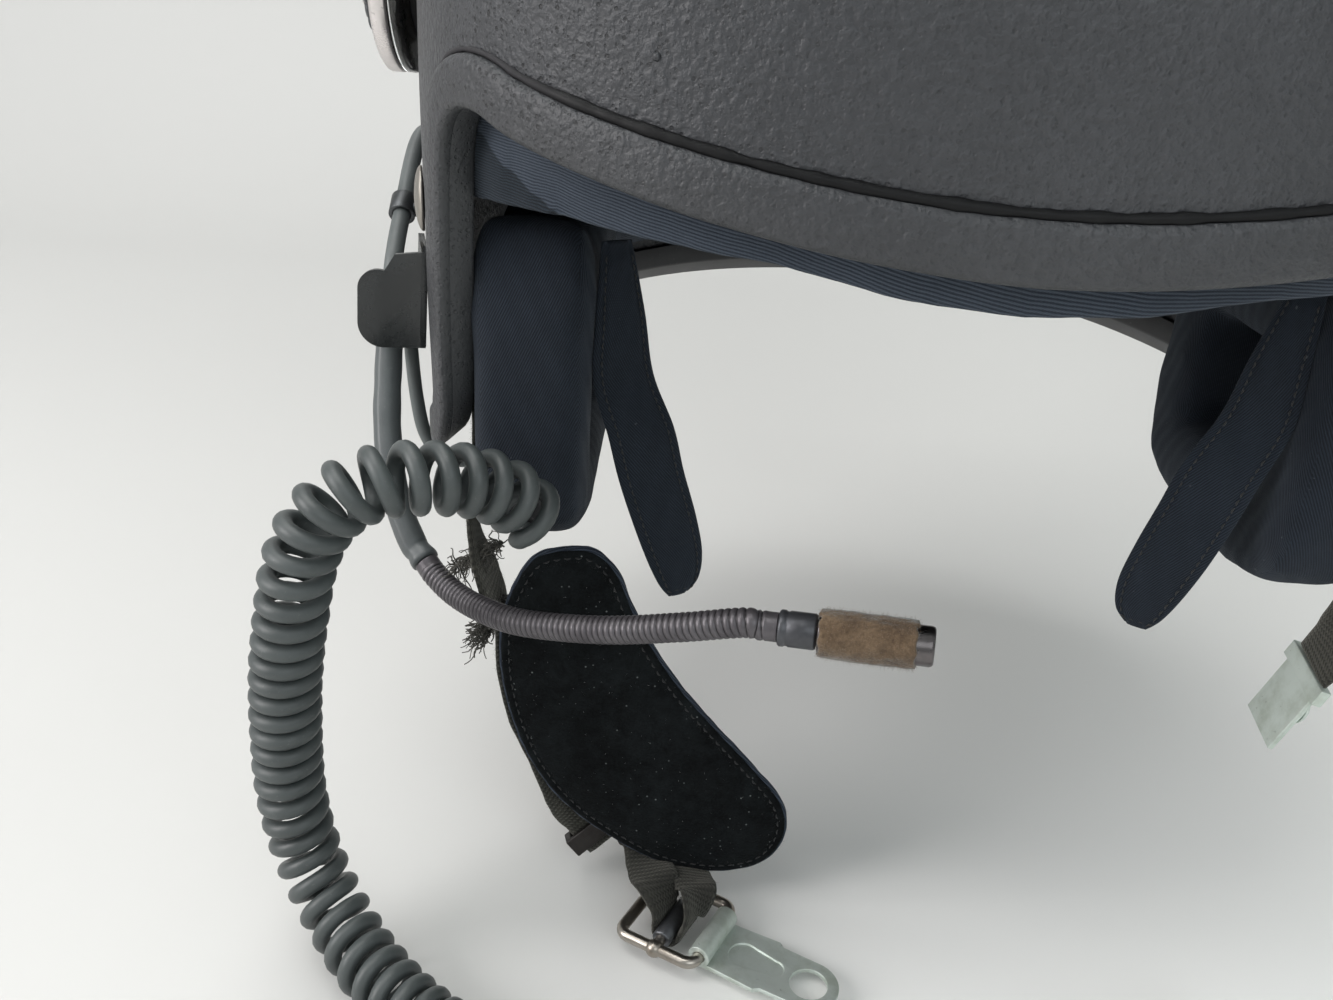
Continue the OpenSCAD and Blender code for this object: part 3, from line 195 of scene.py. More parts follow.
def setAttribute(obj, name, values):
    layer = obj.data.attributes.new(name, "FLOAT", "POINT")
    layer.data.foreach_set("value", np.asarray(values, np.float32).ravel())


def walked(rings, axis):
    # metres covered from ring to ring, or from point to point round the rings
    steps = np.linalg.norm(np.roll(rings, -1, axis) - rings, axis=2).mean(1 - axis)
    return np.concatenate([[0], np.cumsum(steps)]) * 0.001


def skin(name, rings, loop=False, closedRing=True):
    # rings of points, each joined to the next; cloth coordinates run along and round it in metres
    rings = np.asarray(rings, float)
    n, s = rings.shape[:2]
    grid = np.arange(n * s).reshape(n, s)
    rows = np.arange(n if loop else n - 1)
    columns = np.arange(s if closedRing else s - 1)
    i, j = np.meshgrid(rows, columns, indexing="ij")
    i, j = i.ravel(), j.ravel()
    after, beside = (i + 1) % n, (j + 1) % s
    faces = np.stack([grid[i, j], grid[i, beside], grid[after, beside], grid[after, j]], 1).tolist()
    run, around = walked(rings, 0), walked(rings, 1)
    corners = ((j, i), (j + 1, i), (j + 1, i + 1), (j, i + 1))
    uv = np.stack([np.stack([around[a], run[b]], 1) for a, b in corners], 1).reshape(-1, 2)
    verts = rings.reshape(-1, 3)
    if closedRing and not loop:
        for row in (0, n - 1):
            verts = np.vstack([verts, rings[row].mean(0)[None]])
            middle = len(verts) - 1
            for c in range(s):
                a, b = grid[row, c], grid[row, (c + 1) % s]
                faces.append((b, a, middle) if row == 0 else (a, b, middle))
        uv = np.vstack([uv, np.zeros((6 * s, 2))])
    obj = newObject(name, verts, faces)
    setUv(obj, uv)
    return facedOut(obj)


def frames(p, ref):
    # directions square to a path, carried along it without twist
    t = tangents(p)
    u = np.zeros_like(p)
    a = unit(np.asarray(ref, float) - (np.asarray(ref, float) @ t[0]) * t[0])
    for i in range(len(p)):
        a = unit(a - (a @ t[i]) * t[i])
        u[i] = a
    return t, u, np.cross(t, u)


def ringsRound(p, r, u, v, sides):
    # a circle about each point of a path; its radius may also change with the angle
    w = np.linspace(0, 2 * math.pi, sides, endpoint=False)
    spokes = np.cos(w)[None, :, None] * u[:, None] + np.sin(w)[None, :, None] * v[:, None]
    return p[:, None] + (r[:, None] if r.ndim == 1 else r)[..., None] * spokes


def tube(name, p, radius, sides=16, ref=(0.3, 0.2, 1), ends=True):
    # a round bar along a path; its ends are a little chamfered
    narrow, over = 0.86, 0.06
    p = np.asarray(p, float)
    r = np.broadcast_to(np.asarray(radius, float), (len(p),)).copy()
    t, u, v = frames(p, ref)
    if ends:
        p = np.vstack([p[:1], p, p[-1:]])
        r = np.concatenate([[r[0] * narrow], r, [r[-1] * narrow]])
        p[0] = p[1] - t[0] * over * r[1]
        p[-1] = p[-2] + t[-1] * over * r[-2]
        u, v = np.vstack([u[:1], u, u[-1:]]), np.vstack([v[:1], v, v[-1:]])
    return skin(name, ringsRound(p, r, u, v, sides))


def lathe(name, profile, origin, axis, sides=96, bevel=0.0, shape=None, loop=False):
    # a turned piece: profile points are (radius, height); shape(angle, radius, height) may change the radius
    smallest = 0.002
    prof = np.asarray(profile, float)
    if bevel:
        prof = np.vstack([prof[:1], rolled(prof, bevel, 3)[4:-4], prof[-1:]])
    axis = unit(axis)
    ref = np.array([0, 0, 1.0]) if abs(axis[2]) < 0.9 else np.array([0, 1.0, 0])
    u = unit(ref - (ref @ axis) * axis)
    v = np.cross(axis, u)
    w = np.linspace(0, 2 * math.pi, sides, endpoint=False)
    spokes = np.cos(w)[:, None] * u + np.sin(w)[:, None] * v
    rings = []
    for r, h in prof:
        r = max(r, smallest)
        far = np.full(sides, r) if shape is None else shape(w, r, h)
        rings.append(np.asarray(origin, float) + axis * h + far[:, None] * spokes)
    return skin(name, rings, loop)


def addPart(main, other):
    # the second mesh becomes part of the first
    bm = bmesh.new()
    bm.from_mesh(main.data)
    bm.from_mesh(other.data)
    bm.to_mesh(main.data)
    bm.free()
    bpy.data.objects.remove(other)
    return main


def joined(name, parts):
    # several meshes as one piece
    total = None
    for part in parts:
        total = part if total is None else addPart(total, part)
    total.name = name
    return total


def toOtherSide(obj):
    obj.data.transform(Matrix.Scale(-1, 4, Vector((1, 0, 0))))
    obj.data.flip_normals()
    return obj


def mirrored(obj, name):
    other = obj.copy()
    other.data = obj.data.copy()
    other.name = name
    scene.collection.objects.link(other)
    return toOtherSide(other)


def baked(obj):
    # what the modifiers make becomes the mesh
    graph = bpy.context.evaluated_depsgraph_get()
    mesh = bpy.data.meshes.new_from_object(obj.evaluated_get(graph))
    obj.modifiers.clear()
    obj.data = mesh
    return obj


def refined(node, bevel=0.25, segments=2, angle=32):
    # the exact solid with its triangles joined and its edges broken
    join, flat, sharp = 2e-6, math.radians(0.6), math.radians(40)
    mesh = frame["nodes"][node].data.copy()
    bm = bmesh.new()
    bm.from_mesh(mesh)
    bmesh.ops.remove_doubles(bm, verts=bm.verts, dist=join)
    bmesh.ops.dissolve_limit(bm, angle_limit=flat, verts=bm.verts, edges=bm.edges)
    bm.to_mesh(mesh)
    bm.free()
    mesh.materials.clear()
    obj = bpy.data.objects.new(node + "Made", mesh)
    scene.collection.objects.link(obj)
    mesh.shade_smooth()
    cut = obj.modifiers.new("edges", "BEVEL")
    cut.width, cut.segments, cut.limit_method = bevel * 0.001, segments, "ANGLE"
    cut.angle_limit = math.radians(angle)
    cut.harden_normals = True
    cut.use_clamp_overlap = True
    baked(obj)
    obj.data.set_sharp_from_angle(angle=sharp)
    return obj


def dress(obj, material):
    obj.data.materials.clear()
    obj.data.materials.append(materials[material]())


def fit(obj, material, *nodes):
    # the piece stands for these solids, rides on their body and takes its finish
    dress(obj, material)
    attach(obj, bodyOfNode[nodes[0]])
    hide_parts(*nodes)
    return obj


def trimOn(obj, material, body):
    # a piece of trim that no solid stands for
    dress(obj, material)
    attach(obj, body)
    return obj


# Shading: sums on sockets are written as plain arithmetic

class Value:
    def __init__(self, shade, socket):
        self.shade, self.socket = shade, socket

    def math(self, operation, other=None, swap=False, third=None):
        made = self.shade.tree.nodes.new("ShaderNodeMath")
        made.operation = operation
        terms = [self, other] if not swap else [other, self]
        for k, term in enumerate(terms + ([third] if third is not None else [])):
            if term is not None:
                self.shade.feed(made.inputs[k], term)
        return Value(self.shade, made.outputs[0])

    def __add__(self, other): return self.math("ADD", other)
    def __radd__(self, other): return self.math("ADD", other, True)
    def __sub__(self, other): return self.math("SUBTRACT", other)
    def __rsub__(self, other): return self.math("SUBTRACT", other, True)
    def __mul__(self, other): return self.math("MULTIPLY", other)
    def __rmul__(self, other): return self.math("MULTIPLY", other, True)
    def __truediv__(self, other): return self.math("DIVIDE", other)
    def __rtruediv__(self, other): return self.math("DIVIDE", other, True)
    def __pow__(self, other): return self.math("POWER", other)
    def sine(self): return self.math("SINE")
    def abs(self): return self.math("ABSOLUTE")
    def least(self, other): return self.math("MINIMUM", other)
    def most(self, other): return self.math("MAXIMUM", other)

    def step(self, low, high):
        # 0 below low, 1 above high, soft between
        made = self.shade.node("MapRange", {"interpolation_type": "SMOOTHSTEP"}, Value=self,
                               From_Min=low, From_Max=high)
        return Value(self.shade, made.outputs[0])


class Shade:
    def __init__(self, name):
        self.material = bpy.data.materials.new(name)
        self.material.use_nodes = True
        self.tree = self.material.node_tree
        self.tree.nodes.clear()

    def feed(self, socket, value):
        if isinstance(value, Value):
            value = value.socket
        if isinstance(value, bpy.types.NodeSocket):
            self.tree.links.new(value, socket)
        elif value is not None:
            if socket.type == "RGBA" and len(value) == 3:
                value = (*value, 1)
            socket.default_value = value

    def node(self, kind, settings=None, **inputs):
        made = self.tree.nodes.new("ShaderNode" + kind)
        for key, value in (settings or {}).items():
            setattr(made, key, value)
        for key, value in inputs.items():
            name = key.replace("_", " ")
            found = [s for s in made.inputs if s.enabled and s.name == name]
            self.feed(found[0], value)
        return made

    def place(self, scale=1.0, stretch=(1, 1, 1)):
        where = self.node("TexCoord").outputs["Object"]
        return self.node("Mapping", Vector=where, Scale=tuple(scale * k for k in stretch)).outputs[0]

    def cloth(self):
        return self.node("UVMap", {"uv_map": "cloth"}).outputs[0]

    def split(self, vector):
        made = self.node("SeparateXYZ", Vector=vector)
        return [Value(self, s) for s in made.outputs]

    def attribute(self, name):
        return Value(self, self.node("Attribute", {"attribute_name": name}).outputs["Fac"])

    def noise(self, where, scale, detail=3.0, rough=0.55, twist=0.0):
        made = self.node("TexNoise", Vector=where, Scale=scale, Detail=detail, Roughness=rough,
                         Distortion=twist)
        return Value(self, made.outputs["Fac"])

    def cells(self, where, scale):
        # the distance to the nearest of many scattered points, and a random value for each of them
        made = self.node("TexVoronoi", {"feature": "F1"}, Vector=where, Scale=scale, Randomness=1.0)
        tint = self.node("SeparateColor", Color=made.outputs["Color"])
        return Value(self, made.outputs["Distance"]), Value(self, tint.outputs[0])

    def blend(self, factor, a, b):
        return self.node("Mix", {"data_type": "RGBA"}, Factor=factor, A=a, B=b).outputs["Result"]

    def bump(self, height, distance, strength=1.0, normal=None):
        made = self.node("Bump", Height=height, Distance=distance, Strength=strength, Normal=normal)
        return made.outputs[0]

    def finish(self, **inputs):
        made = self.node("BsdfPrincipled", **inputs)
        self.node("OutputMaterial", Surface=made.outputs[0])
        return self.material


finishes = {}


def once(builder, *args):
    # one material for each finish
    def build():
        key = (builder.__name__,) + args
        if key not in finishes:
            finishes[key] = builder(*args)
        return finishes[key]
    return build


def shaded(colour, times, more=0.0):
    return tuple(times * k + more for k in colour)


def paint(name, low, high, pitted, lip):
    # textured paint: a fine orange peel with small dark pits, smoother and darker on cut edges; the peel's
    # valleys carry painted shade
    s = Shade(name)
    where = s.place()
    edge = s.attribute("lip")
    peel = s.noise(where, 760, 2.0, 0.5)
    lumps = s.noise(where, 400, 2.0, 0.5)
    grain = s.noise(where, 1900, 2.0, 0.6)
    pit, chance = s.cells(where, 620)
    small, chanceSmall = s.cells(where, 1150)
    chosen, chosenSmall = chance.step(0.60, 0.66), chanceSmall.step(0.55, 0.62)
    hole = ((1 - pit.step(0.18, 0.34)) * chosen).most((1 - small.step(0.2, 0.4)) * chosenSmall * 0.7)
    side = s.split(where)[0].step(-0.03, -0.115)
    hole = hole * (0.35 + side * 0.65) * pitted * (1 - edge * 0.3)
    cloud = s.noise(where, 14, 3.0, 0.6)
    ridge = lumps.step(0.34, 0.72) * 0.6 + peel.step(0.34, 0.72) * 0.5
    # painted shade: the raised peel is coloured lighter and its valleys darker, mixed with uneven tone from
    # the cloud
    colour = s.blend((ridge * 0.16 + cloud * 0.5 + 0.12).step(0.1, 0.9), low, high)
    colour = s.blend(hole * 0.85, colour, (0.007, 0.007, 0.008))
    colour = s.blend(edge * lip, colour, (0.042, 0.044, 0.046))
    height = ridge * (1 - edge * 0.6) - hole * 0.7 + grain * 0.12
    rough = 0.44 + (peel - 0.5) * 0.25 + edge * 0.10 + cloud * 0.1
    return s.finish(Base_Color=colour, Roughness=rough, Normal=s.bump(height, 0.00030, 1.0), IOR=1.45)


def bead(name):
    # black sealant that fades into the paint at the sides
    s = Shade(name)
    where = s.place()
    x = s.split(where)[0].abs()
    side = x.step(0.086, 0.108)
    lumps = s.noise(where, 260, 3.0)
    colour = s.blend(side * 0.6, (0.0035, 0.0035, 0.004), (0.05, 0.048, 0.052))
    return s.finish(Base_Color=colour, Roughness=0.42 + side * 0.2 + lumps * 0.2, Specular_IOR_Level=0.22,
                    Normal=s.bump(lumps, 0.0003, 0.7))


def rubber(name, colour, rough, fine):
    s = Shade(name)
    where = s.place()
    cloud = s.noise(where, 60, 4.0, 0.6)
    dust = s.noise(where, 900, 2.0, 0.7)
    base = s.blend(cloud.step(0.3, 0.8) * 0.6, colour, shaded(colour, 1.6, 0.006))
    base = s.blend(dust.step(0.62, 0.78) * 0.16, base, (0.22, 0.22, 0.21))
    return s.finish(Base_Color=base, Roughness=rough + (cloud - 0.5) * 0.2,
                    Normal=s.bump(dust * 0.6 + cloud, 0.0001 * fine, 0.5))


def moulded(name, colour, rough):
    s = Shade(name)
    where = s.place()
    grain = s.noise(where, 1100, 2.0, 0.6)
    cloud = s.noise(where, 45, 4.0, 0.6)
    base = s.blend(cloud.step(0.35, 0.8) * 0.5, colour, shaded(colour, 1.5, 0.004))
    return s.finish(Base_Color=base, Roughness=rough + (cloud - 0.5) * 0.22,
                    Normal=s.bump(grain, 0.00008, 0.6))


def cloth(name, dark, light, slope, size, shadeFold=None):
    # twill: raised slanting lines over a fine weave, with a soft nap
    s = Shade(name)
    uv = s.cloth()
    where = s.place()
    wobble = s.noise(where, 120, 2.0) - 0.5
    u, v, _ = s.split(uv)
    turn = 2 * math.pi / size
    line = ((u + v * slope) * turn + wobble * 2.4).sine() * 0.5 + 0.5
    yarn = ((u * 1.0 - v * 0.5) * (turn * 1.9) + wobble).sine() * 0.5 + 0.5
    fuzz = s.noise(where, 1700, 3.0, 0.7)
    cloud = s.noise(where, 26, 4.0, 0.6)
    raised = line * 0.55 + yarn * 0.2 + fuzz * 0.35
    height = raised.step(0.15, 0.95)
    base = s.blend(height, dark, light)
    base = s.blend(cloud.step(0.35, 0.8) * 0.35, base, shaded(dark, 0.55))
    speck = s.noise(where, 620, 1.0, 0.5).step(0.76, 0.82)
    base = s.blend(speck * 0.2, base, (0.20, 0.21, 0.23))
    if shadeFold:
        # painted shade: beyond a slanting plane, where the facing folds over at the corner, the twill is
        # painted much darker
        x, y, z = s.split(where)
        paintedShade = (x.abs() * shadeFold[0] + y * shadeFold[1] + z * shadeFold[2] - shadeFold[3]).step(0, 0.0005)
        base = s.blend(paintedShade, base, s.blend(height, (0.002, 0.003, 0.005), (0.016, 0.024, 0.033)))
    return s.finish(Base_Color=base, Roughness=0.86, Normal=s.bump(raised, 0.00025, 0.8),
                    Specular_IOR_Level=0.25, Sheen_Weight=0.10, Sheen_Roughness=0.5,
                    Sheen_Tint=(0.6, 0.68, 0.8, 1))


def webbing(name, dark, light):
    # ribs along the web, crossed by a finer weft
    s = Shade(name)
    u, v, _ = s.split(s.cloth())
    where = s.place()
    wobble = s.noise(where, 160, 2.0) - 0.5
    rib = (v * (2 * math.pi / 0.0016) + wobble * 2.2).sine() * 0.5 + 0.5
    weft = (u * (2 * math.pi / 0.0011) + rib * 3.1 + wobble * 2).sine() * 0.5 + 0.5
    fuzz = s.noise(where, 1500, 3.0, 0.75)
    dirt = s.noise(where, 90, 4.0, 0.65)
    raised = rib * 0.45 + weft * 0.35 + fuzz * 0.5
    base = s.blend(raised.step(0.2, 1.15), dark, light)
    base = s.blend(dirt.step(0.45, 0.8) * 0.5, base, shaded(light, 2.0))
    return s.finish(Base_Color=base, Roughness=0.93, Normal=s.bump(raised, 0.0004, 0.9),
                    Sheen_Weight=0.25, Sheen_Roughness=0.6, Sheen_Tint=(0.7, 0.68, 0.6, 1))


def nap(name, dark, light, sheen, lint=0.0):
    # suede and felt: no weave, a brushed nap in patches
    s = Shade(name)
    where = s.place()
    brushed = s.noise(where, 38, 4.0, 0.62, 1.2)
    fuzz = s.noise(where, 1300, 3.0, 0.75)
    pile = s.noise(where, 320, 3.0, 0.6)
    base = s.blend((brushed * 0.6 + pile * 0.4 + fuzz * 0.5).step(0.50, 1.05), dark, light)
    if lint:
        # pale lint that clings to it
        fleck, chance = s.cells(where, 430)
        base = s.blend(fleck.step(0.13, 0.06) * chance.step(0.55, 0.8) * lint, base, (0.22, 0.24, 0.24))
    return s.finish(Base_Color=base, Roughness=0.95, Specular_IOR_Level=0.12,
                    Normal=s.bump(fuzz * 0.7 + pile + brushed * 0.6, 0.0005, 0.8),
                    Sheen_Weight=sheen, Sheen_Roughness=0.45, Sheen_Tint=(0.62, 0.72, 0.76, 1))


def metal(name, colour, rough, worn, spun=None, dull=0.0, grooveDirtAndShade=False):
    # plated or bare metal with fine scratches; spun gives rings about a pivot axis; a groove mask can darken
    # grooves with dirt and painted shade
    s = Shade(name)
    where = s.place()
    scratch = s.noise(s.place(1.0, (1, 6, 1)), 420, 3.0, 0.7)
    cloud = s.noise(where, 110, 4.0, 0.62)
    spots = s.noise(where, 520, 3.0, 0.6)
    height = scratch * 0.5 + spots * 0.35
    if spun:
        _, y, z = s.split(where)
        far = ((y - spun[0]) * (y - spun[0]) + (z - spun[1]) * (z - spun[1])) ** 0.5
        height = height * 0.4 + (far * 16000 + cloud * 3).sine() * 0.5
    base = s.blend(cloud.step(0.38, 0.78), colour, worn)
    base = s.blend(spots.step(0.66, 0.74) * 0.4, base, shaded(colour, 0.3))
    if grooveDirtAndShade:
        # the grooves are darkened: partly dirt, partly painted shade in the recesses
        base = s.blend(s.attribute("groove").step(0.20, 0.75) * 0.9, base, (0.006, 0.005, 0.006))
    return s.finish(Base_Color=base, Metallic=1.0 - dull,
                    Roughness=rough + (cloud - 0.5) * 0.28 + scratch * 0.08,
                    Normal=s.bump(height, 0.00006, 0.7))


def enamel(name, colour, chip, rough):
    # gloss black paint on sheet metal, smudged and rubbed
    s = Shade(name)
    where = s.place()
    smudge = s.noise(where, 42, 4.0, 0.6, 0.8)
    fine = s.noise(where, 700, 2.0, 0.6)
    rub = s.noise(where, 240, 3.0, 0.65).step(0.67, 0.74)
    base = s.blend(smudge.step(0.4, 0.8) * 0.5, colour, shaded(colour, 2.2, 0.01))
    base = s.blend(rub * 0.5, base, chip)
    return s.finish(Base_Color=base, Roughness=rough + (smudge - 0.5) * 0.35 + fine * 0.05,
                    Normal=s.bump(fine + smudge * 0.8, 0.00008, 0.6))


def clear(name):
    # clear sheet, a little green at its edges
    s = Shade(name)
    where = s.place()
    film = s.noise(where, 30, 3.0, 0.6)
    fine = s.noise(where, 900, 3.0, 0.7).step(0.55, 0.8)
    glass = s.node("BsdfPrincipled", Base_Color=(0.93, 0.965, 0.955), IOR=1.58, Transmission_Weight=1.0,
                   Roughness=0.03 + fine * 0.05 + film * 0.03)
    through = s.node("BsdfTransparent", Color=(0.93, 0.96, 0.95, 1))
    shadow = s.node("LightPath").outputs["Is Shadow Ray"]
    both = s.node("MixShader", Fac=shadow)
    s.tree.links.new(glass.outputs[0], both.inputs[1])
    s.tree.links.new(through.outputs[0], both.inputs[2])
    s.node("OutputMaterial", Surface=both.outputs[0])
    return s.material


def thread(name, colour):
    s = Shade(name)
    where = s.place()
    ply = s.noise(where, 2600, 2.0, 0.6)
    base = s.blend(ply, shaded(colour, 0.6), shaded(colour, 1.3))
    return s.finish(Base_Color=base, Roughness=0.8, Sheen_Weight=0.2)


def boardCloth(name):
    # the pale table, with painted shade behind on the left where the lamps light it too brightly, and painted
    # light in front on the right that lifts the helmet's cast shadow
    s = Shade(name)
    where = s.place()
    cloud = s.noise(where, 5, 4.0, 0.5)
    fine = s.noise(where, 300, 3.0, 0.6)
    base = s.blend(cloud, (0.60, 0.60, 0.585), (0.65, 0.65, 0.635))
    x, y, _ = s.split(where)
    # painted shade: darker further back, most on the left
    base = s.blend(y.step(-0.35, 0.45) * (1 - x.step(-0.05, 0.25) * 0.5), base, (0.50, 0.50, 0.49))
    # painted light: paler in front on the right, over the helmet's cast shadow
    base = s.blend(x.step(-0.16, 0.06) * (1 - y.step(-0.1, 0.3)), base, (0.93, 0.93, 0.91))
    return s.finish(Base_Color=base, Roughness=0.55 + fine * 0.1)


# The visor turns about these places, in millimetres; its discs and caps are spun about them
pivotY, pivotZ = 14, 48
pivotSpot = (pivotY * 0.001, pivotZ * 0.001)
materials = {
    "shell": once(paint, "shellPaint", (0.026, 0.027, 0.030), (0.058, 0.060, 0.066), 1.0, 0.8),
    "band": once(paint, "bandPaint", (0.028, 0.029, 0.032), (0.056, 0.058, 0.063), 0.8, 0.8),
    "sealant": once(bead, "sealantBlack"),
    "trim": once(rubber, "trimRubber", (0.018, 0.018, 0.020), 0.5, 1.0),
    "foam": once(rubber, "foamBlack", (0.014, 0.014, 0.016), 0.9, 3.0),
    "piping": once(cloth, "pipingCloth", (0.010, 0.014, 0.022), (0.046, 0.060, 0.086), 0.12, 0.00070),
    "navy": once(cloth, "navyCloth", (0.0030, 0.0045, 0.0075), (0.019, 0.027, 0.040), -0.45, 0.00064),
    "padCloth": once(cloth, "padCloth", (0.006, 0.009, 0.015), (0.024, 0.032, 0.050), 0.4, 0.00072),
    "suede": once(nap, "suedeBlack", (0.0006, 0.0008, 0.0010), (0.0085, 0.0108, 0.0118), 0.03, 0.6),
    "felt": once(nap, "feltBrown", (0.050, 0.031, 0.019), (0.18, 0.125, 0.078), 0.5),
    "web": once(webbing, "webOlive", (0.0055, 0.0055, 0.0045), (0.040, 0.039, 0.030)),
    "webLoop": once(webbing, "webLoop", (0.0040, 0.0040, 0.0034), (0.024, 0.024, 0.019)),
    "plastic": once(moulded, "plasticBlack", (0.016, 0.016, 0.018), 0.45),
    "knob": once(moulded, "knobGrey", (0.045, 0.048, 0.052), 0.38),
    "spacer": once(moulded, "spacerBlack", (0.007, 0.007, 0.008), 0.35),
    "pivotRubber": once(rubber, "pivotRubber", (0.012, 0.012, 0.013), 0.65, 1.0),
    "grommet": once(rubber, "grommetRubber", (0.011, 0.011, 0.012), 0.55, 1.0),
    "jacket": once(rubber, "cableJacket", (0.085, 0.096, 0.096), 0.5, 1.0),
    "lead": once(rubber, "leadRubber", (0.050, 0.058, 0.058), 0.46, 1.0),
    "sleeve": once(rubber, "sleeveRubber", (0.062, 0.070, 0.072), 0.42, 1.5),
    "gooseneck": once(metal, "gooseneckSteel", (0.100, 0.093, 0.100), 0.36, (0.062, 0.056, 0.062),
                      None, 0.5, True),
    "socket": once(metal, "socketSteel", (0.080, 0.082, 0.090), 0.34, (0.048, 0.049, 0.054), None, 0.4),
    "capsule": once(metal, "capsuleSteel", (0.12, 0.11, 0.11), 0.26, (0.07, 0.06, 0.065)),
    "capsuleFace": once(metal, "capsuleFace", (0.62, 0.50, 0.50), 0.34, (0.50, 0.38, 0.38)),
    "stop": once(enamel, "stopBlack", (0.008, 0.0095, 0.010), (0.08, 0.085, 0.085), 0.22),
    "screw": once(enamel, "screwBlack", (0.016, 0.016, 0.018), (0.12, 0.12, 0.12), 0.34),
    "bolt": once(metal, "boltPale", (0.34, 0.32, 0.29), 0.42, (0.22, 0.20, 0.17)),
    "steel": once(metal, "steelPlain", (0.38, 0.38, 0.39), 0.34, (0.26, 0.26, 0.27)),
    "disc": once(metal, "discAluminium", (0.72, 0.68, 0.67), 0.27, (0.60, 0.57, 0.56), pivotSpot),
    "cap": once(metal, "capSteel", (0.62, 0.61, 0.58), 0.3, (0.50, 0.49, 0.46), pivotSpot),
    "clip": once(metal, "clipSteel", (0.10, 0.105, 0.11), 0.4, (0.06, 0.062, 0.065)),
    "nickel": once(metal, "frameNickel", (0.40, 0.37, 0.33), 0.30, (0.27, 0.23, 0.19)),
    "roller": once(metal, "rollerSteel", (0.17, 0.18, 0.19), 0.36, (0.10, 0.10, 0.11)),
    "zinc": once(metal, "plateZinc", (0.60, 0.66, 0.62), 0.46, (0.42, 0.47, 0.41), None, 0.3),
    "dark": once(metal, "studDark", (0.060, 0.056, 0.054), 0.42, (0.034, 0.031, 0.030)),
    "brass": once(metal, "plugBrass", (0.66, 0.50, 0.22), 0.22, (0.56, 0.41, 0.17)),
    "clear": once(clear, "visorClear"),
    "blueThread": once(thread, "threadBlue", (0.022, 0.030, 0.046)),
    "darkThread": once(thread, "threadDark", (0.012, 0.012, 0.012)),
    "suedeThread": once(thread, "threadSuede", (0.0035, 0.0042, 0.0050)),
    "oliveThread": once(thread, "threadOlive", (0.050, 0.047, 0.038)),
    "brownThread": once(thread, "threadBrown", (0.16, 0.11, 0.07)),
    "lint": once(thread, "lintPale", (0.45, 0.45, 0.44)),
}


# Repeated small things are placed by two node groups and then made into meshes

def groupOf(name, inputs):
    tree = bpy.data.node_groups.new(name, "GeometryNodeTree")
    tree.interface.new_socket("Geometry", in_out="INPUT", socket_type="NodeSocketGeometry")
    for label, kind in inputs:
        tree.interface.new_socket(label, in_out="INPUT", socket_type="NodeSocket" + kind)
    tree.interface.new_socket("Geometry", in_out="OUTPUT", socket_type="NodeSocketGeometry")
    return tree, tree.nodes.new("NodeGroupInput"), tree.nodes.new("NodeGroupOutput")


def shown(sockets, name=None):
    # a node's socket in its present type
    return [s for s in sockets if s.enabled and name in (None, s.name)][0]


def wire(tree, start, name, end, socket):
    tree.links.new(start.outputs[name], end.inputs[socket])


def copied(tree, given, place, out):
    # the piece is copied to every point, made real and given its finish
    piece = tree.nodes.new("GeometryNodeObjectInfo")
    real = tree.nodes.new("GeometryNodeRealizeInstances")
    finish = tree.nodes.new("GeometryNodeSetMaterial")
    wire(tree, given, "Piece", piece, "Object")
    wire(tree, piece, "Geometry", place, "Instance")
    wire(tree, place, "Instances", real, 0)
    wire(tree, real, 0, finish, "Geometry")
    wire(tree, given, "Finish", finish, "Material")
    wire(tree, finish, 0, out, 0)
    return tree


def scatterGroup():
    # pieces on a surface, leaning out of it, with uneven turns and sizes
    tree, given, out = groupOf("scatterPieces", [
        ("Piece", "Object"), ("Density", "Float"), ("Seed", "Int"), ("Lean", "Float"), ("Smallest", "Float"),
        ("Largest", "Float"), ("Finish", "Material")])
    new = tree.nodes.new
    points = new("GeometryNodeDistributePointsOnFaces")
    place = new("GeometryNodeInstanceOnPoints")
    turn = new("FunctionNodeRandomValue")
    turn.data_type = "FLOAT_VECTOR"
    size = new("FunctionNodeRandomValue")
    rotate = new("FunctionNodeRotateRotation")
    rotate.rotation_space = "LOCAL"
    euler = new("FunctionNodeEulerToRotation")
    lean = new("ShaderNodeCombineXYZ")
    lean.inputs["Z"].default_value = 3.14
    less = new("ShaderNodeVectorMath")
    less.operation = "SCALE"
    less.inputs["Scale"].default_value = -1
    wire(tree, given, "Geometry", points, "Mesh")
    wire(tree, given, "Density", points, "Density")
    wire(tree, given, "Seed", points, "Seed")
    for axis in ("X", "Y"):
        wire(tree, given, "Lean", lean, axis)
    wire(tree, lean, "Vector", less, 0)
    wire(tree, lean, 0, turn, "Max")
    wire(tree, less, 0, turn, "Min")
    wire(tree, given, "Seed", turn, "Seed")
    wire(tree, turn, 0, euler, 0)
    wire(tree, points, "Rotation", rotate, "Rotation")
    wire(tree, euler, 0, rotate, "Rotate By")
    tree.links.new(given.outputs["Smallest"], shown(size.inputs, "Min"))
    tree.links.new(given.outputs["Largest"], shown(size.inputs, "Max"))
    wire(tree, points, "Points", place, "Points")
    wire(tree, rotate, 0, place, "Rotation")
    tree.links.new(shown(size.outputs), place.inputs["Scale"])
    return copied(tree, given, place, out)


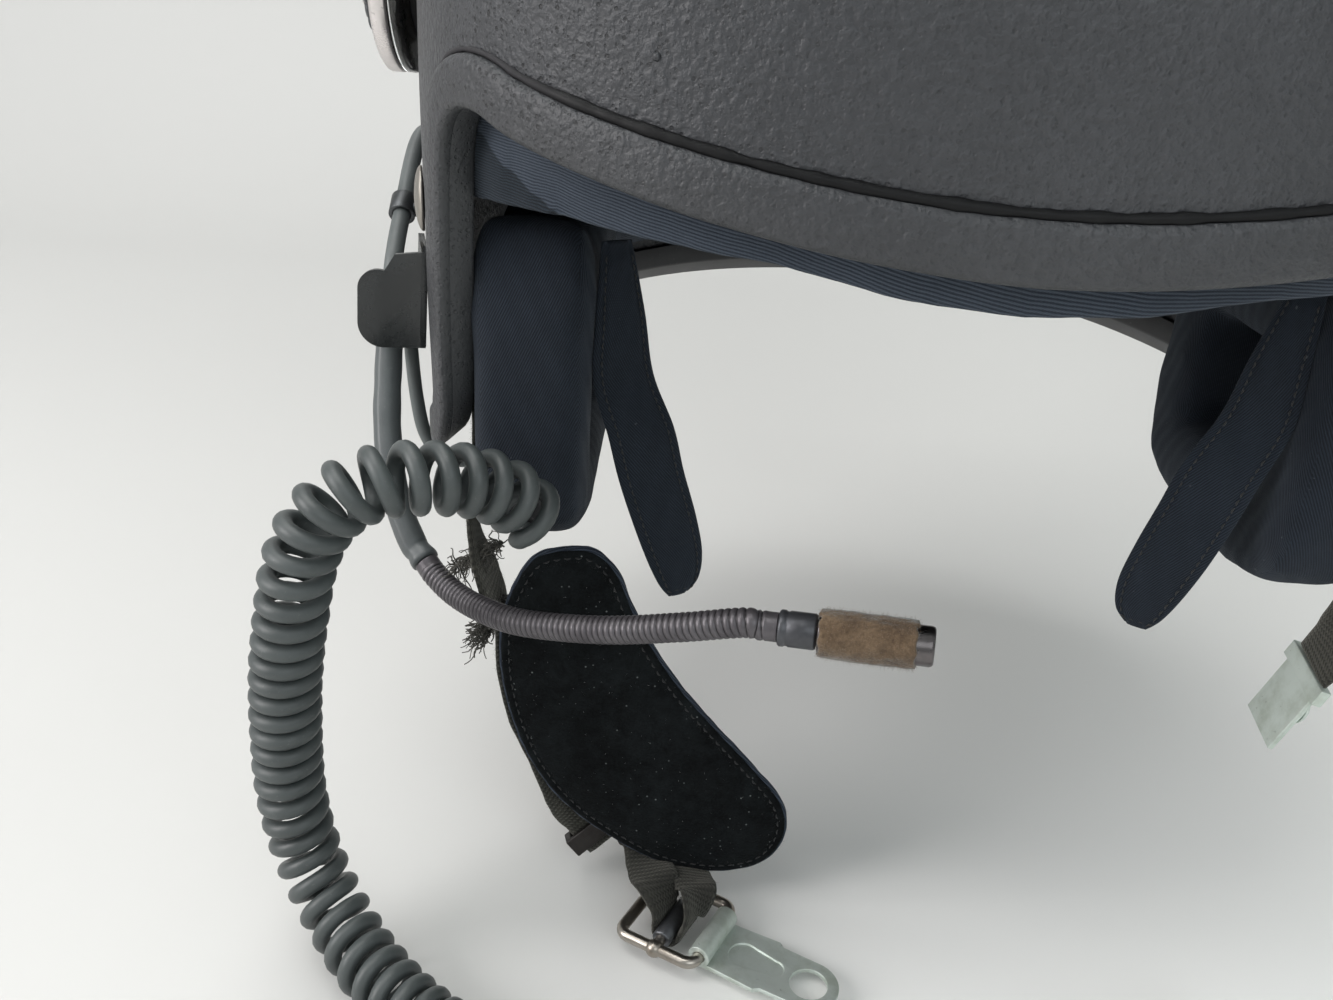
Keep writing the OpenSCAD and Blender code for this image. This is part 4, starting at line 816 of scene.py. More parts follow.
def rowGroup():
    # pieces in an even row along a line, each turned along it
    tree, given, out = groupOf("rowOfPieces", [
        ("Piece", "Object"), ("Spacing", "Float"), ("Finish", "Material")])
    new = tree.nodes.new
    curve, even = new("GeometryNodeMeshToCurve"), new("GeometryNodeResampleCurve")
    even.mode = "LENGTH"
    place, along = new("GeometryNodeInstanceOnPoints"), new("FunctionNodeAlignRotationToVector")
    along.axis = "X"
    tangent = new("GeometryNodeInputTangent")
    wire(tree, given, "Geometry", curve, "Mesh")
    wire(tree, curve, 0, even, "Curve")
    wire(tree, given, "Spacing", even, "Length")
    wire(tree, even, 0, place, "Points")
    wire(tree, tangent, 0, along, "Vector")
    wire(tree, along, 0, place, "Rotation")
    return copied(tree, given, place, out)


groups = {"scatter": scatterGroup(), "row": rowGroup()}


def placed(name, kind, base, values):
    # runs a node group on a mesh and keeps what it makes as a new object
    obj = bpy.data.objects.new(name, base.data.copy() if isinstance(base, bpy.types.Object) else base)
    scene.collection.objects.link(obj)
    mod = obj.modifiers.new("place", "NODES")
    mod.node_group = groups[kind]
    for item in groups[kind].interface.items_tree:
        if item.item_type == "SOCKET" and item.in_out == "INPUT" and item.name in values:
            mod[item.identifier] = values[item.name]
    bpy.context.view_layer.update()
    return baked(obj)


def hair(name, length, radius, curl):
    # a thin bent fibre that stands on Z
    steps, corners = 4, (0, 2.09, 4.19)
    verts, faces = [], []
    for i in range(steps + 1):
        t = i / steps
        c = np.array([curl * length * t * t, 0.25 * curl * length * math.sin(5 * t), length * t])
        r = radius * (1 - 0.75 * t)
        verts += [c + r * np.array([math.cos(w), math.sin(w), 0]) for w in corners]
    for i in range(steps):
        for j in range(3):
            a, b = i * 3 + j, i * 3 + (j + 1) % 3
            faces.append((a, b, b + 3, a + 3))
    return newObject(name, verts, faces)


def stitch(name, length, radius):
    # one stitch along X, its ends dipping into the cloth
    steps, corners = 6, (0, 1.05, 2.09, 3.14, 4.19, 5.24)
    verts, faces = [], []
    for i in range(steps + 1):
        t = i / steps
        r = radius * (0.35 + 0.65 * math.sin(math.pi * t))
        z = radius * 1.1 * math.sin(math.pi * t) - radius * 0.55
        verts += [(length * (t - 0.5), r * math.cos(w), z + r * math.sin(w)) for w in corners]
    for i in range(steps):
        for j in range(6):
            a, b = i * 6 + j, i * 6 + (j + 1) % 6
            faces.append((a, b, b + 6, a + 6))
    return newObject(name, verts, faces)


# Small pieces that are only copied, and removed at the end
pieces = {
    "nap": hair("napFibre", 0.9, 0.022, 0.6),
    "long": hair("longFibre", 2.6, 0.022, 0.7),
    "lint": hair("lintFibre", 0.32, 0.05, 1.1),
    "stitch": stitch("stitchShort", 1.7, 0.22),
}


def polyline(name, points):
    mesh = bpy.data.meshes.new(name)
    p = np.asarray(points, float) * 0.001
    mesh.from_pydata(p.tolist(), [(i, i + 1) for i in range(len(p) - 1)], [])
    return mesh


def sewn(name, points, spacing, finish, body):
    # a row of stitches along a line
    row = placed(name, "row", polyline(name + "Line", points), {
        "Piece": pieces["stitch"], "Spacing": spacing * 0.001, "Finish": materials[finish]()})
    return trimOn(row, finish, body)


def fluff(name, base, piece, density, seed, finish, lean=0.9, small=0.4, large=1.2, body="helmet"):
    # loose fibres scattered over a surface, so many to the square metre
    fibres = placed(name, "scatter", base, {
        "Piece": pieces[piece], "Density": density, "Seed": seed, "Lean": lean, "Smallest": small,
        "Largest": large, "Finish": materials[finish]()})
    return trimOn(fibres, finish, body)


def partOf(obj, keep):
    # the faces of a piece whose slope, the y of their normal, passes the test, as a mesh to scatter on
    mesh = obj.data.copy()
    bm = bmesh.new()
    bm.from_mesh(mesh)
    gone = [f for f in bm.faces if not keep(f.normal[1])]
    bmesh.ops.delete(bm, geom=gone, context="FACES")
    bm.to_mesh(mesh)
    bm.free()
    return mesh


cover = {"frames": 20, "quality": 6, "mass": 0.2, "stretch": 40, "bend": 0.4}


def puffed(obj, voxel, pressure, cap):
    # the cover is blown up a little as cloth, so that it creases by itself; no point moves further than cap
    remesh = obj.modifiers.new("even", "REMESH")
    remesh.mode, remesh.voxel_size = "VOXEL", voxel * 0.001
    baked(obj)
    before = readAll(obj.data.vertices, "co", np.float32, 3)
    sim = obj.modifiers.new("cover", "CLOTH")
    sim.settings.use_pressure = True
    sim.settings.uniform_pressure_force = pressure
    sim.settings.quality = cover["quality"]
    sim.settings.mass = cover["mass"]
    sim.settings.tension_stiffness = cover["stretch"]
    sim.settings.compression_stiffness = cover["stretch"]
    sim.settings.bending_stiffness = cover["bend"]
    sim.settings.effector_weights.gravity = 0
    sim.collision_settings.use_collision = False
    sim.point_cache.frame_start, sim.point_cache.frame_end = 1, cover["frames"]
    for f in range(1, cover["frames"] + 1):
        scene.frame_set(f)
    baked(obj)
    scene.frame_set(1)
    move = readAll(obj.data.vertices, "co", np.float32, 3) - before
    far = np.linalg.norm(move, axis=1, keepdims=True)
    move = move * np.minimum(1, cap * 0.001 / np.maximum(far, 1e-9))
    obj.data.vertices.foreach_set("co", (before + move).astype(np.float32).ravel())
    obj.data.update()
    print(obj.name, "cover moved at most", round(float(far.max()) * 1000, 2), "mm, kept", cap)
    fine = obj.modifiers.new("fine", "SUBSURF")
    fine.levels = fine.render_levels = 1
    baked(obj)
    obj.data.shade_smooth()
    boxUv(obj)
    return obj


print("finishes ready")


# Camera at the photo's place, leaning 4 degrees, and soft light over a pale table

view = {"width": 1333, "focal": 1200, "sensor": 36, "near": 0.01, "at": (-0.066, -0.328, 0.059), "down": 25,
        "lean": -4}


def aim(location, pitch, roll):
    p, r = math.radians(pitch), math.radians(roll)
    ahead = np.array([0, math.cos(p), -math.sin(p)])
    right = np.array([1.0, 0, 0])
    down = np.cross(ahead, right)
    right, down = right * math.cos(r) + down * math.sin(r), down * math.cos(r) - right * math.sin(r)
    m = Matrix.Identity(4)
    for k in range(3):
        m[k][0], m[k][1], m[k][2], m[k][3] = right[k], -down[k], -ahead[k], location[k]
    return m


camera = bpy.data.objects.new("camera", bpy.data.cameras.new("camera"))
scene.collection.objects.link(camera)
camera.data.sensor_width = view["sensor"]
camera.data.lens = view["sensor"] * view["focal"] / view["width"]
camera.data.clip_start = view["near"]
camera.matrix_world = aim(view["at"], view["down"], view["lean"])
scene.camera = camera

table = {"front": -1.6, "back": 0.62, "bend": 0.35, "half": 2.6, "up": 2.2, "gap": 0.0004}


def makeTable():
    # a flat top that bends up into a wall behind
    floor = sizeLoaded[0][2] - table["gap"]
    edge = [(y, floor) for y in np.linspace(table["front"], table["back"], 5)]
    for a in np.radians(np.linspace(10, 90, 9)):
        edge.append((table["back"] + table["bend"] * math.sin(a), floor + table["bend"] * (1 - math.cos(a))))
    edge.append((table["back"] + table["bend"], table["up"]))
    rings = [[(x * 1000, y * 1000, z * 1000) for x in (-table["half"], table["half"])] for y, z in edge]
    return skin("tableTop", rings, closedRing=False)


board = makeTable()
board.data.materials.append(boardCloth("tablePale"))


def softbox(name, location, target, size, power, colour=(1, 1, 1)):
    light = bpy.data.objects.new(name, bpy.data.lights.new(name, "AREA"))
    light.data.shape, light.data.size, light.data.size_y = "RECTANGLE", size[0], size[1]
    light.data.energy, light.data.color = power, colour
    light.location = location
    light.rotation_euler = (Vector(target) - Vector(location)).to_track_quat("-Z", "Y").to_euler()
    scene.collection.objects.link(light)


softbox("lightAbove", (-0.45, 0.10, 1.4), (0, 0, 0), (1.4, 1.1), 19, (1, 0.99, 0.97))
softbox("lightLeft", (-1.35, -0.55, 0.55), (-0.05, 0, 0), (0.8, 0.9), 17, (1, 0.965, 0.96))
softbox("lightFront", (0.5, -1.5, 0.9), (0, 0, -0.05), (1.2, 0.8), 6, (0.93, 0.98, 1))
world = bpy.data.worlds.new("room")
scene.world = world
world.use_nodes = True
background = world.node_tree.nodes["Background"]
background.inputs[0].default_value = (0.84, 0.89, 0.90, 1)
background.inputs[1].default_value = 0.56
scene.view_settings.view_transform = "Standard"
print("camera, table and light ready")

# The shell: a rounded box, written as the reach from its middle along each direction

shell = {"halfW": 136, "front": 137, "back": 150, "domeH": 100, "wideZ": 45, "midY": 25, "wall": 6.5,
         "browZ": 6, "browRise": 18, "corner": 53.5, "earZ": -70, "napeZ": -60, "skirtH": 480,
         "frontExp": 2.7, "backExp": 2.3, "domeExp": 2.3, "skirtExp": 2, "degree": 2.45, "browEnd": 43}
centre = np.array([0, shell["midY"], shell["wideZ"]], float)
pole = np.array([0, math.sin(math.radians(38)), math.cos(math.radians(38))])


def reach(d, h):
    x, y, z = np.abs(d[..., 0]), np.abs(d[..., 1]), np.abs(d[..., 2])
    ahead, below = d[..., 1] < 0, d[..., 2] < 0
    b = np.where(ahead, shell["front"], shell["back"]) + h
    n = np.where(ahead, shell["frontExp"], shell["backExp"])
    c = np.where(below, shell["skirtH"], shell["domeH"]) + h
    m = np.where(below, shell["skirtExp"], shell["domeExp"])
    return (((x / (shell["halfW"] + h)) ** n + (y / b) ** n) ** (m / n) + (z / c) ** m) ** (-1 / m)


def onShell(d, h):
    d = np.asarray(d, float)
    return centre + reach(d, np.asarray(h, float))[..., None] * d


def heading(f, z, side):
    f, z = np.broadcast_arrays(np.asarray(f, float), np.asarray(z, float))
    ahead = np.abs(f) < 90
    a = np.radians(f)
    n = np.where(ahead, shell["frontExp"], shell["backExp"])
    b = np.where(ahead, shell["front"], shell["back"])
    dz = z - shell["wideZ"]
    c = np.where(dz < 0, shell["skirtH"], shell["domeH"])
    m = np.where(dz < 0, shell["skirtExp"], shell["domeExp"])
    g = ((np.abs(np.sin(a)) / shell["halfW"]) ** n + (np.abs(np.cos(a)) / b) ** n) ** (1 / n)
    r = (1 - (np.abs(dz) / c) ** m) ** (1 / m) / g
    return unit(np.stack([side * r * np.sin(a), -r * np.cos(a), dz], -1))


def outward(f, z):
    a = onShell(heading(f, z + 2, -1), 0) - onShell(heading(f, z - 2, -1), 0)
    b = onShell(heading(f + 1, z, -1), 0) - onShell(heading(f - 1, z, -1), 0)
    return unit(np.cross(a, b))


def halfRim():
    def brow(f):
        return np.array([f, shell["browZ"] + shell["browRise"] * (f / 46) ** 1.7])

    def bend(a, b, c, t):
        return mix(mix(a, b, t), mix(b, c, t), t)
    top = np.array([shell["corner"] - 0.2, shell["browZ"] + 5])
    low = np.array([shell["corner"] + 2.4, shell["earZ"] + 24])
    end = np.array([shell["corner"] + 14, shell["earZ"] + 3.5])

    def bottom(f):
        if f < 95:
            return np.array([f, shell["earZ"] + 3.5 * ((95 - f) / (95 - end[0])) ** 2])
        return np.array([f, shell["earZ"] + (shell["napeZ"] - shell["earZ"]) * float(smooth((f - 95) / 85))])
    out = [brow(f) for f in np.arange(0, shell["browEnd"], 5.375)]
    knee = np.array([shell["corner"] - 1.4, shell["browZ"] + shell["browRise"] + 8])
    out += [bend(brow(shell["browEnd"]), knee, top, t) for t in np.linspace(0, 1, 6)]
    out += [mix(top, low, t) for t in (0.25, 0.5, 0.75)]
    heel = np.array([shell["corner"] + 4.4, shell["earZ"] + 6])
    out += [bend(low, heel, end, t) for t in np.linspace(0, 1, 6)]
    out += [bottom(f) for f in np.linspace(end[0] + 8, 180, 13)]
    return np.array(out)


rim = halfRim()
halfN = len(rim) - 1
rimN = 2 * halfN
bandI = halfN - 13


def rimDir(t, e):
    # direction at rim station t, e millimetres into the shell
    t, e = np.broadcast_arrays(np.asarray(t, float), np.asarray(e, float))
    w = np.mod(t, rimN)
    right = w <= halfN
    k = np.where(right, w, rimN - w)
    p = spline(rim, k)
    d = spline(rim, np.minimum(k + 0.6, halfN)) - spline(rim, np.maximum(k - 0.6, 0))
    d = unit(d * np.array([shell["degree"], 1]))
    f, z = p[..., 0] - d[..., 1] * e / shell["degree"], p[..., 1] + d[..., 0] * e
    return heading(f, z, np.where(right, -1, 1))


def atRim(t, e, h):
    return onShell(rimDir(t, e), h)

# The pivots of the visor; the shell carries a boss under each

pivot = {"y": pivotY, "z": pivotZ, "base": 130.5, "bossR": 19.6, "bossH": 5.8, "boss": 136.3, "pad": 1.8,
         "padR": 18.5, "spacer": 1.8, "spacerR": 17.5, "visor": 3.5, "disc": 4.8, "discR": 26, "bore": 4.5,
         "knob": 2.8, "knobR": 18.5, "flutes": 24, "play": 0.15, "knobPlay": 0.2}
pivot["spacerX"] = pivot["boss"] + pivot["pad"]
pivot["lugX"] = pivot["spacerX"] + pivot["spacer"] + pivot["play"]
pivot["discX"] = pivot["lugX"] + pivot["visor"]
pivot["knobX"] = pivot["discX"] + pivot["disc"] + pivot["knobPlay"]


def turned(name, prof, x, side, bevel=0.0, sides=128, shape=None, loop=False):
    return lathe(name, prof, (side * x, pivot["y"], pivot["z"]), (side, 0, 0), sides, bevel, shape, loop)


def noLip(obj):
    # nothing of this piece is a cut edge
    obj.data.attributes.new("lip", "FLOAT", "POINT")
    return obj


def makeShell():
    t = np.arange(0, rimN, 0.25)
    wall = shell["wall"]
    lip = [(1.2, -wall), (0.4, 0.3 - wall), (0, 1 - wall), (0, -3.2), (0, -0.9), (0.35, -0.25), (1.0, 0)]
    rows, edge = [], []
    start = rimDir(t, 2.0)
    steps = np.linspace(0, 1, 62)[:-1] ** 1.08
    for k in steps[::-1]:
        rows.append(onShell(slerp(start, pole, k), -wall))
        edge.append(0.35 if k < 0.01 else 0)
    for e, h in lip:
        rows.append(atRim(t, e, h))
        edge.append(1 if h < -0.5 else 0.5 if h < 0 else 0)
    for k in steps:
        rows.append(onShell(slerp(start, pole, k), 0))
        edge.append(0)
    obj = skin("shellMade", rows)
    setAttribute(obj, "lip", np.concatenate([np.repeat(edge, len(t)), [0, 0]]))
    r, h = pivot["bossR"], pivot["bossH"]
    bossProfile = [(0, 0), (r, 0), (r - 0.6, h), (0, h)]
    for side in (-1, 1):
        addPart(obj, noLip(turned("boss", bossProfile, pivot["base"], side, 0.5, 96)))
    return obj


fit(makeShell(), "shell", "outer_shell")

band = {"wide": 10.8, "peak": 1.7, "peakFar": 10, "deep": 1.2, "high": 2.62, "uneven": 0.14, "size": 26,
        "seed": 3}


def bandWide(k):
    # the band is widest in the middle of the brow
    return band["wide"] + band["peak"] * max(0, 1 - abs(k) / band["peakFar"])


def makeBand():
    # the raised band; its outer edge rolls over into the groove
    rows, edge = [], []
    for k in np.arange(-bandI, bandI + 0.01, 0.25):
        w = bandWide(k)
        section = rolled([(0.1, -band["deep"]), (w - 0.3, -band["deep"]), (w, 1.3), (w - 1.2, 2.35),
                          (w / 2, band["high"]), (1.3, 2.3), (0.05, 1.1)], 1.5, 4)
        rows.append(np.array([atRim(k, q[0], q[1]) for q in section]))
        edge.append([1.0 if q[0] < 0.9 and q[1] < 1.6 else 0.4 if q[0] < 1.4 else 0 for q in section])
    rows = np.array(rows)
    uneven = waves(rows.reshape(-1, 3), band["size"], band["seed"]).reshape(rows.shape[:2])
    far = np.linalg.norm(rows - centre, axis=2)
    top = far - far[:, :1] > 0.6
    rows = rows + unit(rows - centre) * (uneven * band["uneven"] * top)[..., None]
    obj = skin("bandMade", rows)
    setAttribute(obj, "lip", np.concatenate([np.array(edge).ravel(), [0, 0]]))
    return obj


fit(makeBand(), "band", "rim_band")

sealant = {"r": 1.2, "behind": 0.55, "up": 0.15, "slim": 0.5, "slimX": 84, "slimOver": 26}


def makeBead():
    # sealant in the groove, laid by hand: its width wanders
    t = np.arange(-bandI, bandI + 0.01, 0.125)
    p = np.array([atRim(k, bandWide(k) + sealant["behind"], sealant["up"]) for k in t])
    side = smooth((np.abs(p[:, 0]) - sealant["slimX"]) / sealant["slimOver"])
    uneven = 1 + 0.18 * waves(p, 9, 5) + 0.10 * waves(p, 3, 6)
    return tube("beadMade", p, sealant["r"] * (1 - sealant["slim"] * side) * uneven, 10, (0, 0, 1))


fit(makeBead(), "sealant", "rim_sealant")

# Small drips of paint: degrees from the front, height on the shell, how far out, radius
drips = [(-23.5, 21, 0.3, 0.95), (-30, 40, 0.2, 0.55), (21, 30, 0.2, 0.6), (120, 20, 0.2, 0.7)]


def makeDrips():
    made = []
    for f, z, out, r in drips:
        c = onShell(heading(abs(f), z, -1 if f < 0 else 1), out)
        prof = [(0, -0.3), (r * 1.5, -0.1), (r * 1.15, 0.3 * r), (r * 0.7, 0.75 * r), (0, 0.95 * r)]
        made.append(lathe("nub", prof, c, unit(c - centre), 20))
    return noLip(joined("paintNubs", made))


trimOn(makeDrips(), "shell", "helmet")

trim = {"gap": 0.3, "thick": 1.2, "grip": 7}


def makeTrim():
    # a rubber channel over the lower edge
    g, t, w, wall = trim["gap"], trim["thick"], trim["grip"], shell["wall"]
    section = rolled([(w, g - 0.2), (w, g + t), (-g - t, g + t), (-g - t, -wall - 2 * g - t),
                      (w, -wall - 2 * g - t), (w, -wall - 2 * g), (-g, -wall - g), (-g, g - 0.2)], 0.8, 3)
    stations = np.arange(bandI + 1, rimN - bandI - 1 + 0.01, 0.25)
    return skin("trimMade", [[atRim(k, q[0], q[1]) for q in section] for k in stations])


fit(makeTrim(), "trim", "edge_trim")

foam = {"out": -7.6, "thick": 15, "low": 22, "rise": 26, "apart": 45, "groove": 1.6, "grooveWide": 2.2,
        "upTo": 0.7}


def nearest(f, apart):
    # degrees to the nearest of evenly spaced lines
    return np.mod(f + apart / 2, apart) - apart / 2


def makeFoam():
    # the impact foam, with eight grooves down its inner face
    f = np.arange(0, 360, 3.0)
    side, ff = np.where(f > 180, 1, -1), np.where(f > 180, 360 - f, f)
    start = heading(ff, foam["low"] + foam["rise"] * np.cos(np.radians(f)), side)
    out, inner = foam["out"], foam["out"] - foam["thick"]
    rows = []
    steps = np.linspace(0, 1, 26)[:-1]
    for k in steps[::-1]:
        d = slerp(start, pole, k)
        off = nearest(np.degrees(np.arctan2(d[:, 0], -d[:, 1])), foam["apart"])
        groove = foam["groove"] * np.exp(-(off / foam["grooveWide"]) ** 2) * (k < foam["upTo"])
        rows.append(onShell(d, inner + groove))
    for a in np.linspace(0.1, 0.9, 6):
        bulge = slerp(start, pole, -0.012 * math.sin(math.pi * a))
        rows.append(onShell(bulge, out - foam["thick"] * (1 - a)))
    for k in steps:
        rows.append(onShell(slerp(start, pole, k), out))
    return skin("foamMade", rows)


fit(makeFoam(), "foam", "impact_foam")

crown = {"out": -24.6, "thick": 9, "reach": 34, "apart": 45, "seam": 4.0, "deep": 0.28}


def makeCrown():
    # crown pad: eight quilted segments
    f = np.arange(0, 360, 3.0)
    prof = way([(0, 0.9), (0.08, 0.985), (0.3, 1), (0.62, 0.985), (0.88, 0.93), (1, 0.8), (1.04, 0.45),
                (1.06, 0.03)], 3)
    rows = []
    for u, w in prof:
        seam = np.exp(-(nearest(f, crown["apart"]) / crown["seam"]) ** 2)
        seam = seam * smooth((u - 0.3) / 0.5) * smooth(w * 3)
        a = np.radians(crown["reach"] * w)
        d = np.stack([math.sin(a) * np.sin(np.radians(f)), -math.sin(a) * np.cos(np.radians(f)),
                      np.full(len(f), math.cos(a))], 1)
        rows.append(onShell(d, crown["out"] - crown["thick"] * (u - crown["deep"] * seam)))
    return skin("crownMade", rows)


fit(puffed(makeCrown(), 3.5, 2, 1.0), "navy", "crown_pad")
print("shell, rim and inner linings made")

# Brow pad: a cushion across the forehead with a facing that folds over it at the corner

brow = {"far": 63, "thick": 20, "top": 22, "tilt": 26, "inset": 7.6, "soft": 0.8,
        "lowAt": [0, 10, 21, 37, 41, 50, 57, 63], "low": [-4, -2.5, 2, 3.8, 4.6, 3.2, 1, 0]}


def browLow(f):
    # the lower edge rises towards the corner and drops again where the facing folds over
    return np.interp(abs(f), brow["lowAt"], brow["low"])


def browThick(f):
    return brow["thick"] * (1 - 0.66 * smooth((np.abs(f) - 24) / 24))


def makeBrow():
    rows = []
    for a in np.arange(-brow["far"], brow["far"] + 0.01, 0.75):
        low, t = float(browLow(a)), float(browThick(a))
        high = brow["top"] + brow["tilt"] * math.cos(math.radians(a)) - 1
        section = closedWay([(high - 0.6, 0.02), (high, 0.5), (high - 4, 0.93), ((low + high) / 2, 1),
                             (low + 7, 0.97), (low + 1.2, 0.84), (low - 0.2, 0.5), (low + 0.6, 0.14),
                             (low + 3, 0)], 5)
        z, q = section[:, 0], section[:, 1]
        puff = 0.5 * np.sin(np.radians(a * 9)) * smooth((z - low) / 9)
        over = smooth((abs(a) - 41 - (z - 5) * 0.92) / 1.0)
        deep = -brow["inset"] - q * t - puff * 0.6 + 0.9 * over * (q < 0.5)
        rows.append(onShell(heading(abs(a), z, 1 if a > 0 else -1), deep))
    rows = np.array(rows)
    flat = rows.reshape(-1, 3)
    soft = (0.30 * waves(flat, 22, 11) + 0.14 * waves(flat, 7, 12)).reshape(rows.shape[:2])
    return skin("browMade", rows + unit(rows - centre) * soft[..., None] * brow["soft"])


def foldPlane():
    # the facing folds over along a line that runs down and forward from the corner; beyond this plane the
    # brow cloth carries painted shade
    a, b = (onShell(heading(f, z, 1), -brow["inset"]) for f, z in ((53, 18), (41, 5)))
    n = unit(np.cross(a - centre, b - centre))
    if n[0] < 0:
        n = -n
    return (*[float(k) for k in n], float(n @ a) * 0.001)


# the brow cloth, with painted shade beyond the fold plane
materials["brow"] = once(cloth, "browCloth", (0.012, 0.017, 0.026), (0.060, 0.074, 0.096), 0.12, 0.00070,
                         foldPlane())
fit(makeBrow(), "brow", "brow_pad")

nape = {"half": 7, "out": -7.6, "thick": 18, "seams": (-2.4, 2.4), "seamWide": 0.14, "seamDeep": 0.22}


def makeNape():
    # nape cushion: three segments between two seams
    section = closedWay([(8, -0.75), (14, -1), (30, -1.03), (42, -0.95), (46, -0.6), (45.4, -0.1),
                         (30, -0.02), (12, -0.02), (8, -0.3)], 5)
    half = nape["half"]
    rows = []
    for k in np.linspace(halfN - half, halfN + half, 90):
        end = math.sin(math.pi * min(1, max(0, (k - halfN + half) / (2 * half)))) ** 0.25
        near = sum(math.exp(-((k - halfN - c) / nape["seamWide"]) ** 2) for c in nape["seams"])
        full = (0.75 + 0.25 * end) * (1 - nape["seamDeep"] * near)
        rows.append([atRim(k, q[0], nape["out"] + (q[1] * nape["thick"]) * full) for q in section])
    return skin("napeMade", rows)


fit(puffed(makeNape(), 3.5, 3, 1.2), "navy", "nape_pad")

# Ear cushions: a sewn ring round each ear

ear = {"x": 100.5, "top": -2.2, "long": 106, "high": 86.5, "thick": 29, "roll": 27.5, "full": 0.99,
       "cornerUp": 10.0, "cornerOut": 2.6}
ear["front"] = shell["midY"] - 0.635 * shell["front"]
ear["y"] = ear["front"] + ear["long"] / 2
ear["z"] = ear["top"] - ear["high"] / 2


def boxy(w, e):
    # a circle pressed towards a square as e falls below 1
    c, s = np.cos(w), np.sin(w)
    return np.stack([np.abs(c) ** e * np.sign(c), np.abs(s) ** e * np.sign(s)], -1)


def makeEar():
    loopY, loopZ = (ear["long"] - ear["roll"]) / 2, (ear["high"] - ear["roll"]) / 2
    across = np.linspace(0, 2 * math.pi, 56, endpoint=False)
    w, t = ear["roll"] / 2 * ear["full"], ear["thick"] / 2 * ear["full"]
    r = boxy(across, 0.48)
    thick = np.stack([r[:, 1] * t, 0 * r[:, 1], 0 * r[:, 1]], 1)
    rows = []
    for a in np.linspace(0, 2 * math.pi, 150, endpoint=False):
        q = boxy(a, 0.42)
        mid = np.array([-ear["x"], ear["y"] + loopY * q[0], ear["z"] + loopZ * q[1]])
        rows.append(mid + r[:, :1] * w * np.array([0, math.cos(a), math.sin(a)]) + thick)
    rows = np.array(rows)
    # the front upper corner stands higher, against the brow
    ahead = smooth(((ear["y"] - rows[..., 1]) / ear["long"] * 2 - 0.5) / 0.4)
    upper = ahead * smooth(((rows[..., 2] - ear["z"]) / ear["high"] * 2 - 0.1) / 0.8)
    rows[..., 2] += ear["cornerUp"] * upper
    rows[..., 0] -= ear["cornerOut"] * upper * (rows[..., 0] < -ear["x"])
    flat = rows.reshape(-1, 3)
    soft = 0.55 * waves(flat, 30, 21) + 0.28 * waves(flat, 11, 22)
    away = unit(flat - np.repeat(rows.mean(1), len(across), 0))
    rows = (flat + away * (soft - 0.5)[:, None]).reshape(rows.shape)
    return skin("earMadeR", rows, loop=True)


earMade = puffed(makeEar(), 3.2, 4, 1.6)
earOther = mirrored(earMade, "earMadeL")
fit(earMade, "navy", "ear_cushion_R")
fit(earOther, "navy", "ear_cushion_L")

phone = {"x": -ear["x"] - ear["thick"] / 2 - 1, "r": 15.4, "high": 18, "front": 16.42,
         "rings": ((0, 1), (3.2, 6), (6.2, 12), (9.2, 18))}


def makePhone():
    # earphone: a cup with rings of small raised dots on its front
    r, h = phone["r"], phone["high"]
    prof = [(0, 0), (r - 0.8, 0), (r, 0.8), (r, h - 0.8), (r - 0.6, h), (12.6, h), (12.2, 17), (12, 16.6),
            (8, 16.5), (0, 16.5)]
    obj = lathe("phoneMadeR", prof, (phone["x"], ear["y"], ear["z"]), (1, 0, 0))
    dot = [(0, 0.0), (0.75, 0.0), (0.75, 0.22), (0.45, 0.3), (0, 0.3)]
    for ring, count in phone["rings"]:
        for k in range(count):
            a = 2 * math.pi * k / count
            at = (phone["x"] + phone["front"], ear["y"] + ring * math.cos(a), ear["z"] + ring * math.sin(a))
            addPart(obj, lathe("dot", dot, at, (1, 0, 0), 14))
    return obj


phoneMade = makePhone()
phoneOther = mirrored(phoneMade, "phoneMadeL")
fit(phoneMade, "plastic", "earphone_R")
fit(phoneOther, "plastic", "earphone_L")

# Ear flaps: sewn leaves of cloth that hang inside the cushions

flap = {"mid": [(54, -46, -6), (55.9, -46, -24), (57.3, -45.8, -40), (62.5, -46, -54), (65.8, -46, -66),
                (70, -47, -78), (73.3, -47.5, -88), (74.8, -48, -95), (74.5, -48.2, -99)],
        "wide": [8, 13.5, 17, 19, 19, 18.5, 16.5, 12, 5], "thick": 1.25, "hem": 0.5, "seam": 0.74,
        "across": unit([0.85, 0.53, 0]), "stations": 80, "seamUp": 0.98, "spacing": 2.3}
flap["thin"] = np.cross([0, 0, 1], flap["across"])


def flapLine():
    t = np.linspace(0, len(flap["mid"]) - 1, flap["stations"])
    mid = spline(flap["mid"], t) - np.array([shell["halfW"], 0, 0])
    return mid, spline(np.array(flap["wide"])[:, None], t)[:, 0]


def makeFlap():
    q = boxy(np.linspace(0, 2 * math.pi, 44, endpoint=False), 0.75)
    x, y = q[:, 0], q[:, 1]
    seam = 1 - 0.45 * np.exp(-((np.abs(x) - flap["seam"]) / 0.09) ** 2)
    rows = []
    for k, (c, width) in enumerate(zip(*flapLine())):
        t = flap["thick"] if 2 < k < flap["stations"] - 3 else flap["hem"]
        rows.append(c + flap["across"] * (width / 2 * x)[:, None] + flap["thin"] * (t * y * seam)[:, None])
    rows = np.array(rows)
    flat = rows.reshape(-1, 3)
    rows = (flat + flap["thin"] * (0.35 * waves(flat * [0.2, 0.2, 1], 34, 31))[:, None]).reshape(rows.shape)
    return skin("flapMadeR", rows)


